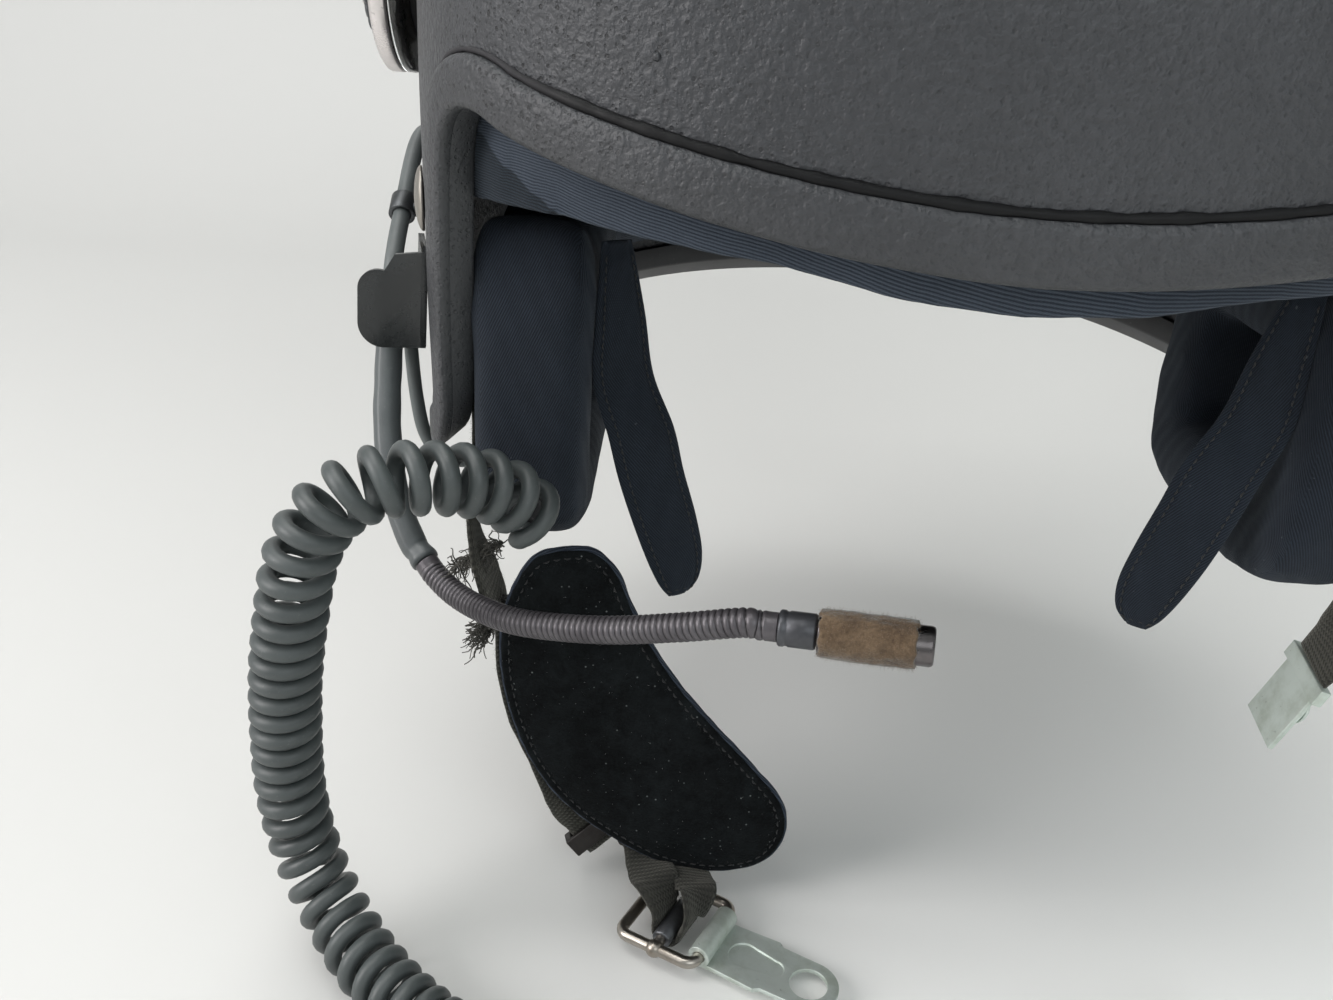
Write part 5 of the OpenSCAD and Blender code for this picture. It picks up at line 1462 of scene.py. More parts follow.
def flapSeam():
    # one line of stitches round each face of the leaf
    mid, wide = (values[3:-6] for values in flapLine())
    right, left = (mid + flap["across"] * (wide[:, None] / 2 * flap["seam"] * side) for side in (1, -1))
    closed = np.vstack([right, left[::-1]])
    return [closed + flap["thin"] * flap["seamUp"] * s for s in (1, -1)]


flapMade = makeFlap()
flapOther = mirrored(flapMade, "flapMadeL")
fit(flapMade, "navy", "ear_flap_R")
fit(flapOther, "navy", "ear_flap_L")
for k, line in enumerate(flapSeam()):
    sewn("flapSeamR%d" % k, line, flap["spacing"], "darkThread", "helmet")
    sewn("flapSeamL%d" % k, line * [-1, 1, 1], flap["spacing"], "darkThread", "helmet")
print("cushions and flaps made")

# Visor with its clamps, drawn closed about its pivots and raised

def bothTurned(name, prof, x, bevel, loop=False):
    return addPart(turned(name, prof, x, -1, bevel, 128, None, loop),
                   turned(name + "Other", prof, x, 1, bevel, 128, None, loop))


def washer(r, high):
    return [(0, 0), (r, 0), (r, high), (0, high)]


boltProfile = [(0, -9), (9, -9), (9, -7), (4, -7), (4, 14), (0, 14)]
discProfile = [(pivot["bore"], 0), (25.2, 0), (25.8, 0.25), (pivot["discR"], 0.8), (pivot["discR"], 3.6),
               (25.7, 4.1), (24.9, 4.7), (24.4, pivot["disc"]), (19.5, pivot["disc"]), (19.2, 4.3),
               (pivot["bore"], 4.3)]
knobProfile = [(0, 0.02), (17.9, 0.02), (pivot["knobR"], 0.5), (pivot["knobR"], 2.2), (17.8, pivot["knob"]),
               (0, pivot["knob"])]
padsMade = bothTurned("pivotPadsMade", washer(pivot["padR"], pivot["pad"]), pivot["boss"], 0.5)
spacersMade = bothTurned("spacersMade", washer(pivot["spacerR"], pivot["spacer"]), pivot["spacerX"], 0.4)
fit(padsMade, "pivotRubber", "pivot_pads")
fit(spacersMade, "spacer", "pivot_spacers")
fit(bothTurned("boltsMade", boltProfile, pivot["boss"], 0.4), "steel", "pivot_bolts")
fit(bothTurned("discsMade", discProfile, pivot["discX"], 0, True), "disc", "clamp_discs")


def knurled(w, r, h):
    # rounded flutes in the rim
    deep = 0.9 * smooth((r - 17) / 1.2)
    return r - deep * np.exp(-(nearest(np.degrees(w), 360 / pivot["flutes"]) / 2.6) ** 2)


for side, mark in ((-1, "R"), (1, "L")):
    knob = turned("knobMade" + mark, knobProfile, pivot["knobX"], side, 0.2, 384, knurled)
    fit(knob, "knob", "clamp_knob_" + mark)
    fit(refined("knob_cap_" + mark, 0.35, 3), "cap", "knob_cap_" + mark)

visor = {"side": pivot["lugX"], "up": 12, "down": 130, "disc": 26, "open": 70, "thick": pivot["visor"],
         "edge": 0.6, "stopGap": 0.3}
visor["y"] = pivot["y"] - visor["disc"] + 3
visor["front"] = shell["front"] - shell["midY"] + 2.2 + 17 + visor["y"]


def visorSpan():
    # the upper and lower edge of the shield, by the distance ahead of the pivot
    back = pivot["y"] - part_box("visor_stop_R")[0][1] * 1000 + visor["stopGap"]
    front = visor["front"] + visor["thick"] - visor["y"] + pivot["y"] + 5
    d, r = visor["down"], visor["disc"]
    high = np.array([(0, 0.7 * r), (0.5 * r, 0.8 * r), (r + 8, 0.9 * visor["up"] + 5), (front, visor["up"])])
    low = np.array([(0, -0.7 * r), (0.5 * r, -0.8 * r), (back - 8, -0.45 * r - 12), (back, -0.45 * r - 22),
                    (back + 0.6, 60 - d), (back + 6, 52 - d), (back + 24, 46 - d), (back + 48, 39 - d),
                    (back + 66, 18 - d), (back + 76, 6 - d), (back + 84, -d), (front, -d)])

    def span(u):
        top = np.interp(u, high[:, 0], high[:, 1]) if u > 0 else -1e3
        bottom = np.interp(u, low[:, 0], low[:, 1]) if u > 0 else 1e3
        if abs(u) < r:
            lug = math.sqrt(r * r - u * u)
            top, bottom = max(top, lug), min(bottom, -lug)
        return top, bottom
    return span


def visorLine():
    # places along the shield, each with the direction that it faces
    w = visor["side"]
    flat = np.linspace(pivot["y"] + visor["disc"] - 0.02, visor["y"], 46)
    arc = np.radians(np.concatenate([np.arange(-89.5, -20, 0.75), np.arange(-20, 20, 1.5),
                                     np.arange(20, 89.6, 0.75)]))
    line = [(-w, y, (-1, 0)) for y in flat]
    line += [(w * math.sin(a), visor["y"] - visor["front"] * math.cos(a), (math.sin(a), -math.cos(a)))
             for a in arc]
    return line + [(w, y, (1, 0)) for y in flat[::-1]]


def makeVisor():
    t, smallest = visor["thick"], visor["edge"]
    span = visorSpan()
    rings = []
    for x, y, n in visorLine():
        top, bottom = span(pivot["y"] - y)
        if top - bottom < smallest:
            top, bottom = (top + bottom) / 2 + smallest / 2, (top + bottom) / 2 - smallest / 2
        b = min(visor["edge"], (top - bottom) / 4)
        zs = np.linspace(bottom + b, top - b, 14)
        ring = [(0, z) for z in zs] + [(b, top), (t - b, top)]
        ring += [(t, z) for z in zs[::-1]] + [(t - b, bottom), (b, bottom)]
        rings.append([(x + n[0] * out, y + n[1] * out, z + pivot["z"]) for out, z in ring])
    obj = skin("visorMade", rings)
    axis = Vector((0, pivot["y"], pivot["z"])) * 0.001
    opened = Matrix.Rotation(math.radians(-visor["open"]), 4, "X")
    obj.data.transform(Matrix.Translation(axis) @ opened @ Matrix.Translation(-axis))
    return obj


fit(makeVisor(), "clear", "visor_shield")

# Stops, bolts and small fittings on the shell

for mark in ("R", "L"):
    fit(refined("visor_stop_" + mark, 0.35, 3), "stop", "visor_stop_" + mark)
fit(refined("stop_screws", 0.15, 2), "screw", "stop_screws")

strapBolt = {"f": 68, "z": -3, "deep": 11.5, "plateR": 7, "shankR": 3, "headR": 8, "high": 2.45}
boltN = outward(strapBolt["f"], strapBolt["z"])
boltPlace = onShell(heading(strapBolt["f"], strapBolt["z"], -1), 0)


def makeStrapBolt(side):
    m = np.array([side * -1, 1, 1])
    plate, shank, head, deep = (strapBolt[key] for key in ("plateR", "shankR", "headR", "deep"))
    prof = [(0, -deep), (plate, -deep), (plate, 1.7 - deep), (shank, 1.7 - deep), (shank, 0),
            (head - 0.1, 0.1), (head, 0.7), (head - 0.8, 1.3), (5.6, 1.85), (3.6, 2.2), (1.6, 2.4),
            (0, strapBolt["high"])]
    return lathe("strapBolt", prof, boltPlace * m, boltN * m, 72, 0.25)


fit(addPart(makeStrapBolt(1), makeStrapBolt(-1)), "bolt", "strap_bolts")
fit(refined("cable_grommet", 0.3, 3), "grommet", "cable_grommet")
fit(refined("cable_clip", 0.25, 2), "clip", "cable_clip")
fit(refined("lead_gland", 0.25, 2), "grommet", "lead_gland")
print("visor and fittings made")

# Boom: a thin cable, a shrunk sleeve and a wound gooseneck with the microphone at its end

side0 = np.array([-shell["halfW"], 0, 0], float)
boomDir = unit([0.65, -0.584, -0.487])
boomEnd = np.array([8.6, -53.4, -91.4])
micDir = unit([30, -6, 1.6])
gooseEnd = np.array([95.5, -108, -71.5])
boom = {
    "cableR": 2.4, "phoneR": 1.9, "micGap": 0.2,
    "cable": [(-4.5, 30, 4), (-7.4, 29.5, 3.8), (-8.4, 25, 1.5), (-8.4, 18, -2.2), (-8, 10, -6.8),
              (-7.6, 2, -12), (-7.4, -6, -17.5), (-7.2, -12, -22.5), (-7.2, -14.5, -26.3)],
    "sleeve": [(-7.2, -15, -27.2), (-7.2, -18, -38), (-6.8, -24, -50), (-5.6, -32, -62), (-3, -39.6, -73),
               (0.6, -45.4, -82), boomEnd - boomDir * 6, boomEnd - boomDir * 3, boomEnd],
    "goose": [boomEnd + boomDir * 0.4, boomEnd + boomDir * 5, (18, -62.6, -95.2), (26.5, -71.5, -94),
              (38, -82, -90.6), (57, -92.6, -84.6), (74.5, -101.4, -77.2), gooseEnd - micDir * 8,
              gooseEnd - micDir * 4, gooseEnd],
    "phone": [(-3, -14.5, -38), (-2.6, -14, -50), (-1.6, -13.6, -62), (0.4, -13.4, -72), (5, -13, -78.8),
              (12, -11.6, -80.4), (17, -10, -77.6), (19.2, -9, -73.6)]}


def besideShell(points):
    # places given from the shell's right side
    return side0 + np.array(points, float)


cableLine, phoneLine = (way(besideShell(boom[key]), 8) for key in ("cable", "phone"))
fit(tube("cableMade", cableLine, boom["cableR"], 20, (1, 0, 0.2)), "jacket", "boom_cable")
fit(tube("phoneCableMade", phoneLine, boom["phoneR"], 18, (0.2, 1, 0)), "jacket", "earphone_cable")

sleeve = {"r": 3.55, "slack": 0.12, "lip": 0.30, "neck": 0.18, "start": 0.9, "seam": 0.22}


def makeSleeve():
    # shrunk rubber: slack waves along it, and a cut end that stands a little proud
    sides = 40
    p = resample(way(besideShell(boom["sleeve"]), 12), 0.7)
    s = lengths(p)
    left = s[-1] - s
    r = sleeve["r"] + sleeve["slack"] * waves(np.stack([s, 0 * s, 0 * s], 1), 14, 41)
    r = r + sleeve["lip"] * np.exp(-((left - 1.0) / 1.1) ** 2)
    r = r - sleeve["neck"] * np.exp(-((left - 3.4) / 0.9) ** 2) - sleeve["start"] * smooth((2.0 - s) / 2.0)
    _, u, v = frames(p, (1, 0, 0.2))
    w = np.linspace(0, 2 * math.pi, sides, endpoint=False)
    seam = sleeve["seam"] * np.exp(-((w - 2.0) / 0.14) ** 2)
    return skin("sleeveMade", ringsRound(p, r[:, None] + seam[None], u, v, sides))


fit(makeSleeve(), "sleeve", "boom_sleeve")

goose = {"r": 3.3, "ribs": 66, "plain": 2.0, "deep": 0.62, "less": 0.1}


def makeGoose():
    # one wire wound into a tube: the ribs climb round it
    sides = 40
    p = resample(way(besideShell(boom["goose"]), 24), 0.16)
    s = lengths(p)
    total = s[-1]
    _, u, v = frames(p, (0, 0.1, 1))
    w = np.linspace(0, 2 * math.pi, sides, endpoint=False)
    run = (s[:, None] - goose["plain"]) / (total - 2 * goose["plain"])
    turn = run * goose["ribs"] - w[None] / (2 * math.pi)
    rib = np.abs(np.sin(math.pi * turn)) ** 0.42
    inside = smooth((s - goose["plain"]) / 1.2) * smooth((total - goose["plain"] - s) / 1.2)
    r = goose["r"] - goose["deep"] * (1 - rib) * inside[:, None] - goose["less"] * (1 - inside[:, None])
    obj = skin("gooseMade", ringsRound(p, r, u, v, sides))
    # a mask of the grooves, which the finish darkens with dirt and painted shade
    setAttribute(obj, "groove", np.concatenate([((1 - rib) * inside[:, None]).ravel(), [0, 0]]))
    return obj


fit(makeGoose(), "gooseneck", "gooseneck")

mic = {"long": 8, "gap": 0.2, "start": 0.4, "feltLong": 20.2, "feltR": 4.55, "swell": 0.75, "lap": 0.4,
       "lapAt": 2.4, "capsuleR": 4.3, "face": 23.4}
micAt = side0 + gooseEnd + micDir * boom["micGap"]
feltAt = micAt + micDir * (mic["long"] + mic["gap"])
socketProfile = [(0, 0), (3.7, 0), (3.95, 0.35), (3.95, 1.2), (3.7, 1.5), (3.7, 2.0), (3.9, 2.3), (3.9, 7.6),
                 (3.6, mic["long"]), (2.7, mic["long"]), (2.7, 11), (0, 11)]
fit(lathe("socketMade", socketProfile, micAt, micDir, 80), "socket", "mic_socket")


def makeFelt():
    # a wrapped strip of felt: one lapped edge along it, ends cut by hand
    n, sides, about = 90, 96, 5
    w = np.linspace(0, 2 * math.pi, sides, endpoint=False)
    ref = unit(np.cross(micDir, (0, 0, 1)))
    v = np.cross(micDir, ref)
    lap = 0.5 * np.exp(-((np.mod(w - mic["lapAt"], 2 * math.pi)) / 0.5))
    ends = 0.35 * waves(np.stack([np.cos(w) * about, np.sin(w) * about, 0 * w], 1), 4, 53)
    spokes = np.cos(w)[:, None] * ref + np.sin(w)[:, None] * v
    rings = []
    for k in range(n):
        x = k / (n - 1)
        body = math.sin(math.pi * x) ** 0.12 if 0 < x < 1 else 0.0
        r = mic["feltR"] + (mic["swell"] + mic["lap"] * lap) * body
        spot = np.stack([np.cos(w) * about, np.sin(w) * about, np.full(sides, x * 21)], 1)
        uneven = 0.10 * waves(spot, 5, 51) + 0.06 * waves(spot, 1.8, 52)
        ragged = ends * (1 if x > 0.5 else -1) * abs(2 * x - 1) ** 6
        h = mic["start"] + x * mic["feltLong"]
        rings.append(feltAt + micDir * (h + ragged)[:, None] + (r + uneven * body)[:, None] * spokes)
    return skin("feltMade", rings)


feltMade = fit(makeFelt(), "felt", "mic_felt")
fluff("feltFluff", feltMade, "nap", 3.0e6, 3, "brownThread", 0.7, 0.4, 1.0, "microphone")
capsuleProfile = [(0, 0.2), (mic["capsuleR"] - 0.1, 0.2), (mic["capsuleR"], 0.5),
                  (mic["capsuleR"], mic["face"]), (4.1, 23.95), (3.75, 24.2), (3.5, 24.0), (3.4, 23.5),
                  (0, 23.45)]
faceProfile = [(0, mic["face"]), (3.3, mic["face"]), (3.3, 23.62), (3.1, 23.7), (1.2, 23.66), (0, 23.62)]
fit(lathe("capsuleMade", capsuleProfile, feltAt, micDir, 80), "capsule", "mic_capsule")
trimOn(lathe("capsuleFace", faceProfile, feltAt, micDir, 64), "capsuleFace", "microphone")

# Curly lead, from the cushion over the boom and down to its plug

lead = {
    "wire": 4.4, "outer": 17.5, "loose": 14, "curls": 41, "per": 24, "step": 1.7, "plugGap": 0.2,
    "axis": [(-97, -72, -68), (-102, -75, -61), (-110, -79, -56), (-119, -84, -53.5), (-128, -88, -53),
             (-136, -90, -56), (-143, -91, -63), (-147.5, -91, -73), (-150.5, -90, -86), (-153.5, -89, -104),
             (-155, -88, -122), (-155.5, -87, -140), (-153.5, -87, -156), (-148, -91, -168),
             (-140.5, -98, -175), (-131, -108, -178), (-119, -119, -178.6), (-104, -129, -178.6),
             (-83, -137.4, -178.6)],
    "tail": [(-70, -146, -183), (-62, -151, -185), (-50, -154, -185.6), (-36, -155, -185.6),
             (-22, -154, -185.6), (-10, -150.6, -185.4)],
    "tailEnd": np.array([8, -143.6, -183.5]), "tailDir": unit([8, 3.4, 0.9]),
    "glandDir": unit([0, -0.896, -0.443]), "glandGap": 0.3}


def leadTravel():
    # the way that the coil has climbed at each eighth of a turn: loose first, then wound closer
    n = lead["loose"]
    pitch = np.array([(0, 6.6), (n * 0.25, 6.2), (n * 0.5, 6.9), (n * 0.8, 6.6), (n, 5.4), (n + 1.5, 5.2),
                      (n + 6.5, 5.25), (n + 9.5, 6.1), (n + 12, 6.7), (n + 18, 6.7), (n + 21, 5.6),
                      (lead["curls"], 5.6)])
    k = np.arange(0, lead["curls"] * 8) + 0.5
    return np.concatenate([[0], np.cumsum(np.interp(k / 8, pitch[:, 0], pitch[:, 1]) / 8)])


def leadCurl():
    line = way(lead["axis"], 16)
    s = lengths(line)
    travel = leadTravel()
    per = lead["per"]
    q = np.concatenate([np.arange(3, per) / per, np.arange(per, lead["curls"] * per - per // 8 + 1) / per])
    x = np.interp(q * 8, np.arange(len(travel)), travel)

    def at(x):
        return np.stack([np.interp(x, s, line[:, i]) for i in range(3)], 1)
    p, t = at(x), unit(at(np.minimum(x + 4, s[-1] - 0.01)) - at(np.maximum(x - 4, 0)))
    u = unit(np.array([0, 1.0, 0]) - t[:, 1:2] * t)
    a = np.radians(360 * q + 90)[:, None]
    return p + (lead["outer"] - lead["wire"]) / 2 * (np.cos(a) * u + np.sin(a) * np.cross(t, u))


def leadPath():
    # from its gland in the cushion, through the coil, to the plug
    curl, n = leadCurl(), lead["glandDir"]
    gland = np.array([-ear["x"], ear["y"] - 0.937 * (ear["long"] - ear["roll"]) / 2 - 0.43 * ear["roll"],
                      ear["z"] - 0.661 * (ear["high"] - ear["roll"]) / 2 - 0.218 * ear["roll"]])
    gland = gland + n * lead["glandGap"]
    head = way(np.vstack([[gland + n * 6.1, gland + n * 10.6], curl[:2]]), 8)[:16]
    tail = np.array(lead["tail"] + [lead["tailEnd"] - lead["tailDir"] * k for k in (6, 3, 0)])
    finish = way(np.vstack([curl[-2:], tail[0] - unit(tail[1] - tail[0]) * 4.6, tail]), 8)[9:]
    return resample(np.vstack([head, curl, finish]), lead["step"])


leadLine = leadPath()
leadMade = tube("leadMade", leadLine, lead["wire"] / 2, 16, (1, 0.3, 0.1))
fit(leadMade, "lead", "curly_lead", "lead_tail")

plug = {"at": lead["tailEnd"] + lead["tailDir"] * lead["plugGap"], "boot": 22, "bootR": 2.7, "bootEndR": 5,
        "rib": 0.55, "grip": 37, "gripR": 8, "flute": 0.5, "pin": 28, "pinR": 3.55, "ringR": 3.35}


def bootRibs(w, r, h):
    # moulded strain relief: rings with gaps
    if 3 < h < 20 and r > 2:
        r = r - plug["rib"] * (math.sin(h * 2.1) > 0.2)
    return np.full(len(w), r)


def gripFlutes(w, r, h):
    # twelve flutes that run out towards both ends
    if r > 6 and 4 < h < 30:
        run = float(smooth((h - 4) / 2) * smooth((30 - h) / 2))
        return r - plug["flute"] * np.exp(-(nearest(np.degrees(w), 30) / 4.0) ** 2) * run
    return np.full(len(w), r)


def along(name, profile, distance, sides, shape=None):
    # a turned piece of the plug, so far from the lead's end
    return lathe(name, profile, plug["at"] + lead["tailDir"] * distance, lead["tailDir"], sides, 0, shape)


def makeBoot():
    high, r, wider = plug["boot"], plug["bootR"], plug["bootEndR"] - plug["bootR"]
    cone = [(r + wider * h / high, h) for h in np.arange(0.5, high, 0.375)]
    return along("bootMade", [(0, 0), (r, 0), *cone, (r + wider, high), (0, high)], 0, 64, bootRibs)


def makeGrip():
    high, r = plug["grip"], plug["gripR"]
    side = [(r, h) for h in np.arange(3, 33, 1.0)]
    prof = [(0, 0), (7.4, 0), (r, 0.7), *side, (r, 33.4), (7.6, 34), (5.1, high), (0, high)]
    return along("gripMade", prof, plug["boot"], 96, gripFlutes)


def makePin():
    # three contacts parted by two rings, and a waisted tip
    r, ring, end = plug["pinR"], plug["ringR"], plug["pin"]
    prof = [(0, 0), (r, 0)]
    for h in (9, 15.5):
        prof += [(r, h), (ring, h + 0.2), (ring, h + 1.2), (r, h + 1.4)]
    prof += [(r, 22.6), (3.2, 23), (2.95, 23.1), (ring, 25.2), (2.6, 26.7), (1.2, end), (0, end)]
    return along("pinMade", prof, plug["boot"] + plug["grip"], 72)


bootMade = fit(makeBoot(), "grommet", "plug_boot")
gripMade = fit(makeGrip(), "plastic", "plug_grip")
pinMade = fit(makePin(), "brass", "plug_pin")
print("boom, microphone and lead made; lead length", round(float(lengths(leadLine)[-1])), "mm")

# Chin pad: a cloth cushion with a suede face, sewn together round their edge

pad = {"y": -62, "edge": [(46, -80.5), (38, -83.5), (33, -92), (30, -103), (30, -117), (33, -132), (39, -147),
                          (48.5, -160), (61, -170), (75, -177.5), (90, -179.8), (103, -176), (109, -166.5),
                          (107.5, -155), (98.5, -143.5), (88, -132), (78, -120.5), (70, -109), (63.5, -97),
                          (59, -86.5), (53, -80.8)],
       "inner": np.array([66, -130.0]), "step": 1.6, "back": 5.4, "backUp": 0.9, "suede": -1.7,
       "suedeUp": 1.25, "stitchY": -1.12, "stitchIn": 2.15, "spacing": 2.7}
outline = closedWay(pad["edge"], 12)


def kidneyRing(y, shrink):
    # the pad's outline, drawn in by so much, at this y
    t = unit(np.roll(outline, -1, 0) - np.roll(outline, 1, 0))
    out = np.stack([t[:, 1], -t[:, 0]], 1)
    if ((outline - pad["inner"]) * out).sum() < 0:
        out = -out
    p = outline - out * shrink
    return np.stack([side0[0] + p[:, 0], np.full(len(p), float(y)), p[:, 1]], 1)


def spread(edge):
    # uneven points inside a closed edge, and how deep inside it each of them is
    step = pad["step"]
    low, high = edge.min(0), edge.max(0)
    ax, az = np.meshgrid(np.arange(low[0], high[0], step), np.arange(low[1], high[1], step))
    grid = np.stack([ax.ravel(), az.ravel()], 1)
    grid = grid + np.random.default_rng(66).uniform(-0.3, 0.3, grid.shape) * step
    a, b = edge[None], np.roll(edge, -1, 0)[None]
    x, z = grid[:, None, 0], grid[:, None, 1]
    crosses = (a[..., 1] > z) != (b[..., 1] > z)
    at = a[..., 0] + (z - a[..., 1]) / (b[..., 1] - a[..., 1] + 1e-9) * (b - a)[..., 0]
    inside = (crosses & (x < at)).sum(1) % 2 == 1
    depth = np.linalg.norm(grid[:, None] - edge[None], axis=2).min(1)
    keep = inside & (depth > step * 0.6)
    return grid[keep], depth[keep]


def kidneyFace(name, rings, height):
    # a sewn leaf: its edge in rings, its face over the last ring filled with points at height(point, depth)
    n, s = rings.shape[:2]
    edge = rings[-1][:, [0, 2]]
    grid, depth = spread(edge)
    points = [Vector(q) for q in np.vstack([edge, grid]).tolist()]
    found = delaunay_2d_cdt(points, [(k, (k + 1) % s) for k in range(s)], [], 1, 1e-5)
    filled = np.array([v[:] for v in found[0]])
    depths = np.concatenate([np.zeros(s), depth])[[g[0] for g in found[3]]]
    face = np.stack([filled[:, 0], height(filled, depths), filled[:, 1]], 1)
    verts = np.vstack([rings.reshape(-1, 3), face])
    faces = []
    for a, b in ((i * s, (i + 1) * s) for i in range(n - 1)):
        faces += [(a + j, a + (j + 1) % s, b + (j + 1) % s, b + j) for j in range(s)]
    faces += [tuple(k + n * s for k in f) for f in found[2]]
    faces.append(tuple(range(s))[::-1])
    obj = facedOut(newObject(name, verts, faces), 2e-5)
    boxUv(obj)
    return obj


def raised(p, y):
    return np.stack([p[:, 0], np.full(len(p), y), p[:, 1]], 1)


def makePad():
    # the cloth cushion behind the suede; its profile gives y and how far it is drawn in
    prof = [(0.2, 3.0), (0.0, 2.6), (0.3, 0.9), (1.2, 0.2), (2.4, 0.3), (3.8, 1.4), (4.9, 3.2),
            (pad["back"], 4.6)]
    rings = []
    for y, shrink in prof:
        ring = kidneyRing(pad["y"] + y, shrink)
        ring[:, 1] += 0.25 * waves(ring, 18, 61)
        rings.append(ring)

    def height(p, depth):
        y = pad["y"] + pad["back"]
        return y + 0.25 * waves(raised(p, y), 18, 61) + pad["backUp"] * (1 - np.exp(-depth / 5.0))
    return kidneyFace("padMade", np.array(rings), height)


fit(makePad(), "padCloth", "chin_pad")


def makeSuede():
    # the face swells between its sewn edge and the middle
    prof = [(-0.25, 2.2), (-0.25, 1.0), (-0.3, 0.35), (-0.6, 0.15), (-0.95, 0.3), (-1.15, 0.9), (-1.2, 1.6),
            (-1.05, 2.1), (-1.15, 2.7), (-1.45, 3.4), (pad["suede"], 4.2)]

    def soft(p, amount):
        return amount * (0.30 * waves(p, 30, 71) + 0.16 * waves(p, 11, 72))
    rings = []
    for y, shrink in prof:
        ring = kidneyRing(pad["y"] + y, shrink)
        ring[:, 1] += soft(ring, min(1, max(0, (shrink - 2.5) / 5)))
        rings.append(ring)

    def height(p, depth):
        y = pad["y"] + pad["suede"]
        uneven = soft(raised(p, y), np.clip((depth + 1.7) / 5, 0, 1))
        return y - pad["suedeUp"] * (1 - np.exp(-depth / 6.0)) + uneven
    return kidneyFace("suedeMade", np.array(rings), height)


suedeMade = fit(makeSuede(), "suede", "chin_suede")
edgeLine = kidneyRing(pad["y"] + pad["stitchY"], pad["stitchIn"])
sewn("padStitches", np.vstack([edgeLine, edgeLine[:1]]), pad["spacing"], "suedeThread", "helmet")


def pipe(y, shrink, r, seed):
    ring = kidneyRing(pad["y"] + y, shrink)
    ring = np.vstack([ring, ring[:1]])
    ring[:, 1] += 0.12 * waves(ring, 12, seed)
    return tube("piping", ring, r * (1 + 0.2 * waves(ring, 5, seed + 5)), 8, (0, 1, 0.01), False)


# Two turned cloth edges show behind the suede
pipingMade = trimOn(joined("pipingMade", [pipe(-0.05, 0.1, 0.55, 81), pipe(0.95, 0.05, 0.50, 82)]), "piping",
                    "helmet")
suedeRim, suedeSide = (partOf(suedeMade, lambda y: abs(y) < limit) for limit in (0.93, 0.9))
suedeFront = partOf(suedeMade, lambda y: y < -0.9)
fluff("suedeNap", suedeRim, "nap", 1.6e6, 5, "darkThread", 0.8, 0.35, 1.0)
fluff("suedeHairs", suedeSide, "long", 8.0e4, 6, "darkThread", 1.0, 0.4, 1.1)
fluff("suedeLint", suedeFront, "lint", 5.0e4, 8, "lint", 1.5, 0.25, 0.9)
fluff("pipingFluff", pipingMade, "nap", 9.0e5, 9, "blueThread", 0.9, 0.3, 0.8)
print("chin pad made")

# Straps

strap = {"wide": 17, "thick": 1.5, "edge": 0.28, "edgeFrom": 0.40, "inside": shell["wall"] + 0.3 + 0.8 + 0.75,
         "pinch": 0.34, "pinchAt": 0.385}


def strapAt(f, z, more):
    return onShell(heading(f, z, -1), -strap["inside"] - more)


def level(f, z):
    # the web lies level along the shell
    n = outward(f, z)
    return unit([n[1], -n[0], 0])


strapIn = boltPlace - boltN * strap["inside"]
boltT = unit([boltN[1], -boltN[0], 0])
strapPoints = [strapIn + [0, 0, 11], strapIn, strapAt(66.4, -25, 0.5), strapAt(68, -47, 1.9)]
strapPoints += list(besideShell([(19.3, -40, -68), (20.8, -52, -80), (25.2, -55.5, -93), (28.2, -53.6, -104),
                                 (28.85, -53.5, -117), (31.85, -53.5, -132.2), (38, -53.4, -147.4),
                                 (46.5, -52.6, -160.5), (54, -51.4, -170.5), (61, -51.4, -179)]))
strapWide = [boltT, boltT, level(66.4, -25), level(68, -47), (-0.15, 1, 0), (0, 1, 0), (0.1, 1, 0)]
strapWide += [(0, 1, 0)] * 4 + [(0.4, 0.8, 0.3)] + [(0.8, 0.3, 0.6)] * 2


def bandSection():
    # half widths and thicknesses round a woven band, thinner at its selvedges
    def less(q):
        return strap["edge"] * max(0, abs(q) - strap["edgeFrom"]) / 0.1
    across = np.linspace(0.5, -0.5, 9)
    return np.array([(q, less(q) - 0.5) for q in across] + [(q, 0.5 - less(q)) for q in across[::-1]])


def ribbon(name, points, wide, width, seed, narrow=None):
    # a woven band with rounded selvedges and slightly uneven edges
    per = 10
    p = way(points, per)
    w = spline(np.array(wide), np.arange(len(p)) / per)
    t = tangents(p)
    a = unit(w - (w * t).sum(1, keepdims=True) * t)
    b = np.cross(t, a)
    section = bandSection()
    edge = width * (1 + 0.02 * waves(p, 6, seed))
    if narrow is not None:
        edge = edge * narrow(np.linspace(0, 1, len(p)))
    rings = p[:, None] + section[None, :, :1] * (a * edge[:, None])[:, None]
    rings = rings + section[None, :, 1:] * (b * strap["thick"])[:, None]
    uneven = 0.12 * waves(rings.reshape(-1, 3), 9, seed + 3)
    return skin(name, rings + b[:, None] * uneven.reshape(rings.shape[:2])[..., None])


def pinch(t):
    # the web is gathered where it leaves the shell's edge
    return 1 - strap["pinch"] * np.exp(-((t - strap["pinchAt"]) / 0.045) ** 2)


strapMade = fit(ribbon("strapMadeR", strapPoints, strapWide, strap["wide"], 2, pinch), "web", "chin_strap_R")
strapOther = toOtherSide(ribbon("strapMadeL", strapPoints[:8], strapWide[:8], strap["wide"], 3))
fit(strapOther, "web", "chin_strap_L")
fluff("strapFluff", strapMade, "nap", 6.0e5, 12, "oliveThread")


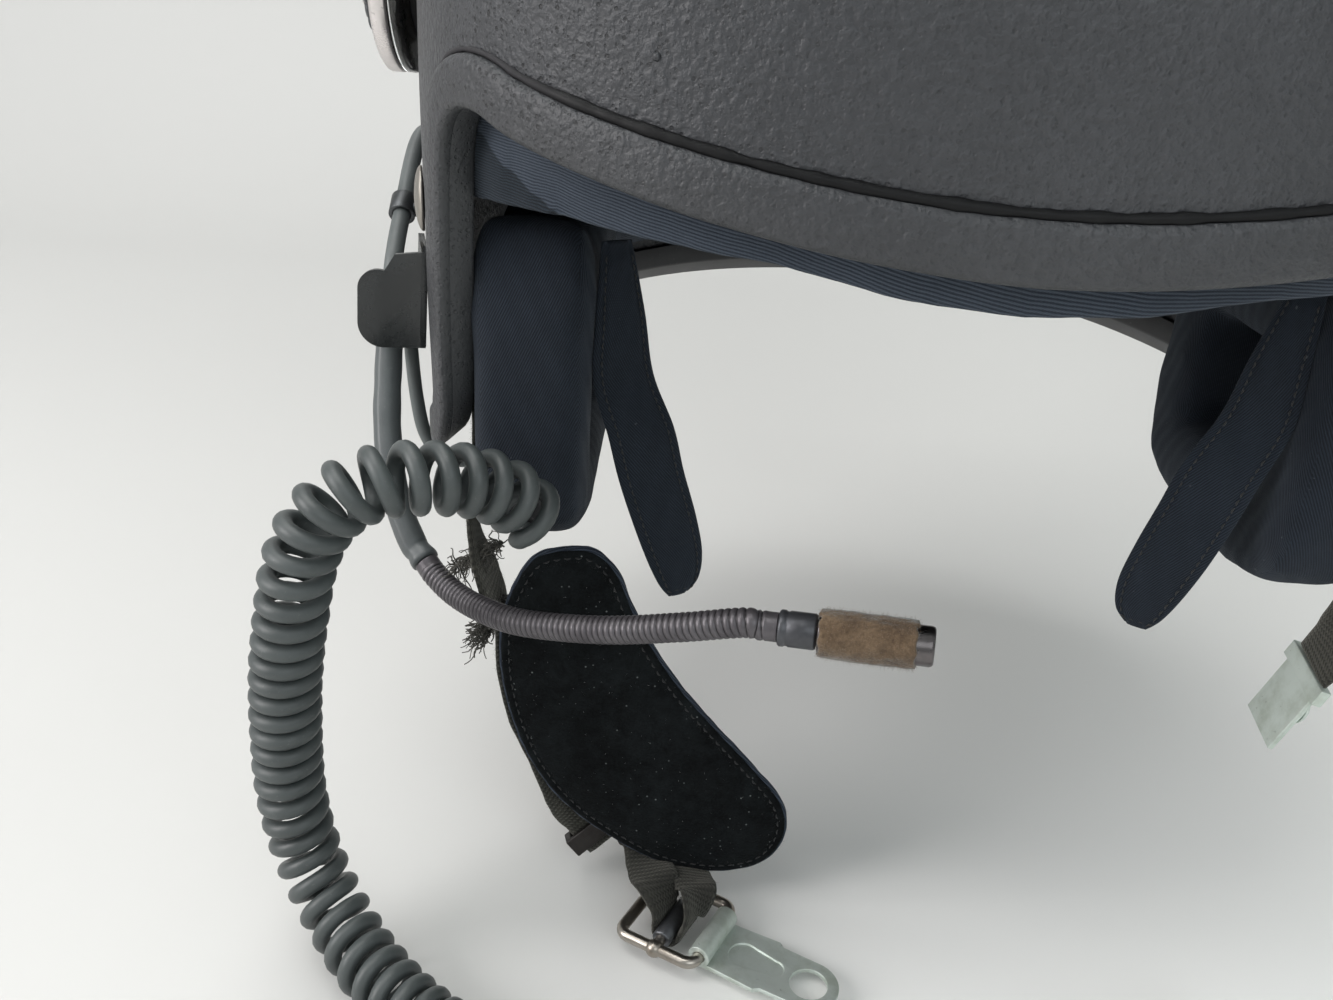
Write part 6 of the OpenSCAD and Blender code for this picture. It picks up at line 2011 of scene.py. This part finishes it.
def looseThread(r, at, ahead, spread, length):
    # one curly thread; r gives its random values
    start = np.array(at) + spread * (r.random() - 0.5) * 2
    d = unit(ahead + r.normal(size=3) * 0.55)
    side = unit(np.cross(d, r.normal(size=3)))
    up = np.cross(d, side)
    n = length * r.uniform(0.35, 1.1)
    turns, phase, wide = r.uniform(4, 9), r.uniform(0, 6.3), r.uniform(0.5, 1.1)
    t = np.linspace(0, 1, 11)[:, None]
    sag = np.array([0, 0, -1.0]) * n * 0.3 * t * t
    curl = wide * t ** 0.6 * (np.cos(turns * t + phase) * side + np.sin(turns * t + phase) * up)
    thick = r.uniform(0.13, 0.26) * np.linspace(1, 0.6, 11)
    return tube("thread", start + d * n * t + sag + curl, thick, 5, (0.3, 0.2, 1), False)


def frayed(name, at, ahead, spread, count, length, seed):
    # loose threads of a cut web end
    r = np.random.default_rng(seed)
    threads = (looseThread(r, at, unit(ahead), np.array(spread), length) for _ in range(count))
    return trimOn(joined(name, threads), "oliveThread", "helmet")


bar = {"c": side0 + np.array([80.6, -78.6, -183.4]), "u": unit([0.45, 0.89, 0]), "n": unit([0.89, -0.45, 0]),
       "bore": 1.55, "roller": 2.6, "half": 8.9}


def atBar(n, u, z):
    return bar["c"] + bar["n"] * n + bar["u"] * u + np.array([0, 0, z])


webLoop = {"gap": 0.3, "wide": strap["wide"] * 0.78, "slim": 0.14, "slimAt": 0.62}
webLoop["r"] = bar["roller"] + webLoop["gap"] + strap["thick"] / 2


def loopWay():
    # up from the pad, round the roller and back
    r = webLoop["r"]
    first = besideShell([(67, -54.9, -168), (69.2, -55.6, -175.6), (71.6, -61.5, -178),
                         (74.2, -71.6, -176.6)])
    last = besideShell([(85.6, -74, -177.4), (85, -67.4, -178.6), (83.9, -62.8, -179.7)])
    bend = [atBar(r * math.cos(a), 0, r * math.sin(a)) for a in map(math.radians, range(180, 361, 30))]
    return [*first, atBar(-r - 0.8, 0.8, 3.6), *bend, atBar(r + 0.8, 0.8, 3.6), *last]


def slimEnd(t):
    # the end beside the hook is cut narrower
    return 1 - webLoop["slim"] * smooth((t - webLoop["slimAt"]) / 0.12)


loopWide = [(0.88, 0, -0.47), (0.82, 0.3, -0.38), (0.66, 0.66, -0.2)] + [bar["u"]] * 11
loopWide += [(0.99, 0, -0.15)] * 2
loopMade = fit(ribbon("loopMade", loopWay(), loopWide, webLoop["wide"], 4, slimEnd), "webLoop", "strap_loop")
fluff("loopFluff", loopMade, "nap", 7.0e5, 14, "oliveThread")
frayed("frayUpper", side0 + [23.5, -55.5, -87], (-0.3, -0.6, 0.1), (5.5, 1.5, 3.0), 170, 6.5, 91)
frayed("frayLower", side0 + [27.5, -55, -106], (-0.75, -0.4, 0.1), (2.5, 3, 5.0), 260, 7.0, 92)

rollerHalf = [(bar["bore"], bar["half"]), (2.35, bar["half"]), (bar["roller"], bar["half"] - 0.3)]
rollerProfile = [(r, -h) for r, h in rollerHalf] + rollerHalf[::-1]
fit(refined("pad_stud", 0.2, 2), "dark", "pad_stud")
fit(refined("strap_slider", 0.4, 3), "dark", "strap_slider")
fit(refined("buckle_frame", 0.12, 2), "nickel", "buckle_frame")
fit(lathe("rollerMade", rollerProfile, bar["c"], bar["u"], 64), "roller", "buckle_roller")
fit(refined("hook_plate", 0.28, 3, 24), "zinc", "hook_plate")
fit(refined("stud_plate", 0.4, 3), "zinc", "stud_plate")
for obj in pieces.values():
    bpy.data.objects.remove(obj)
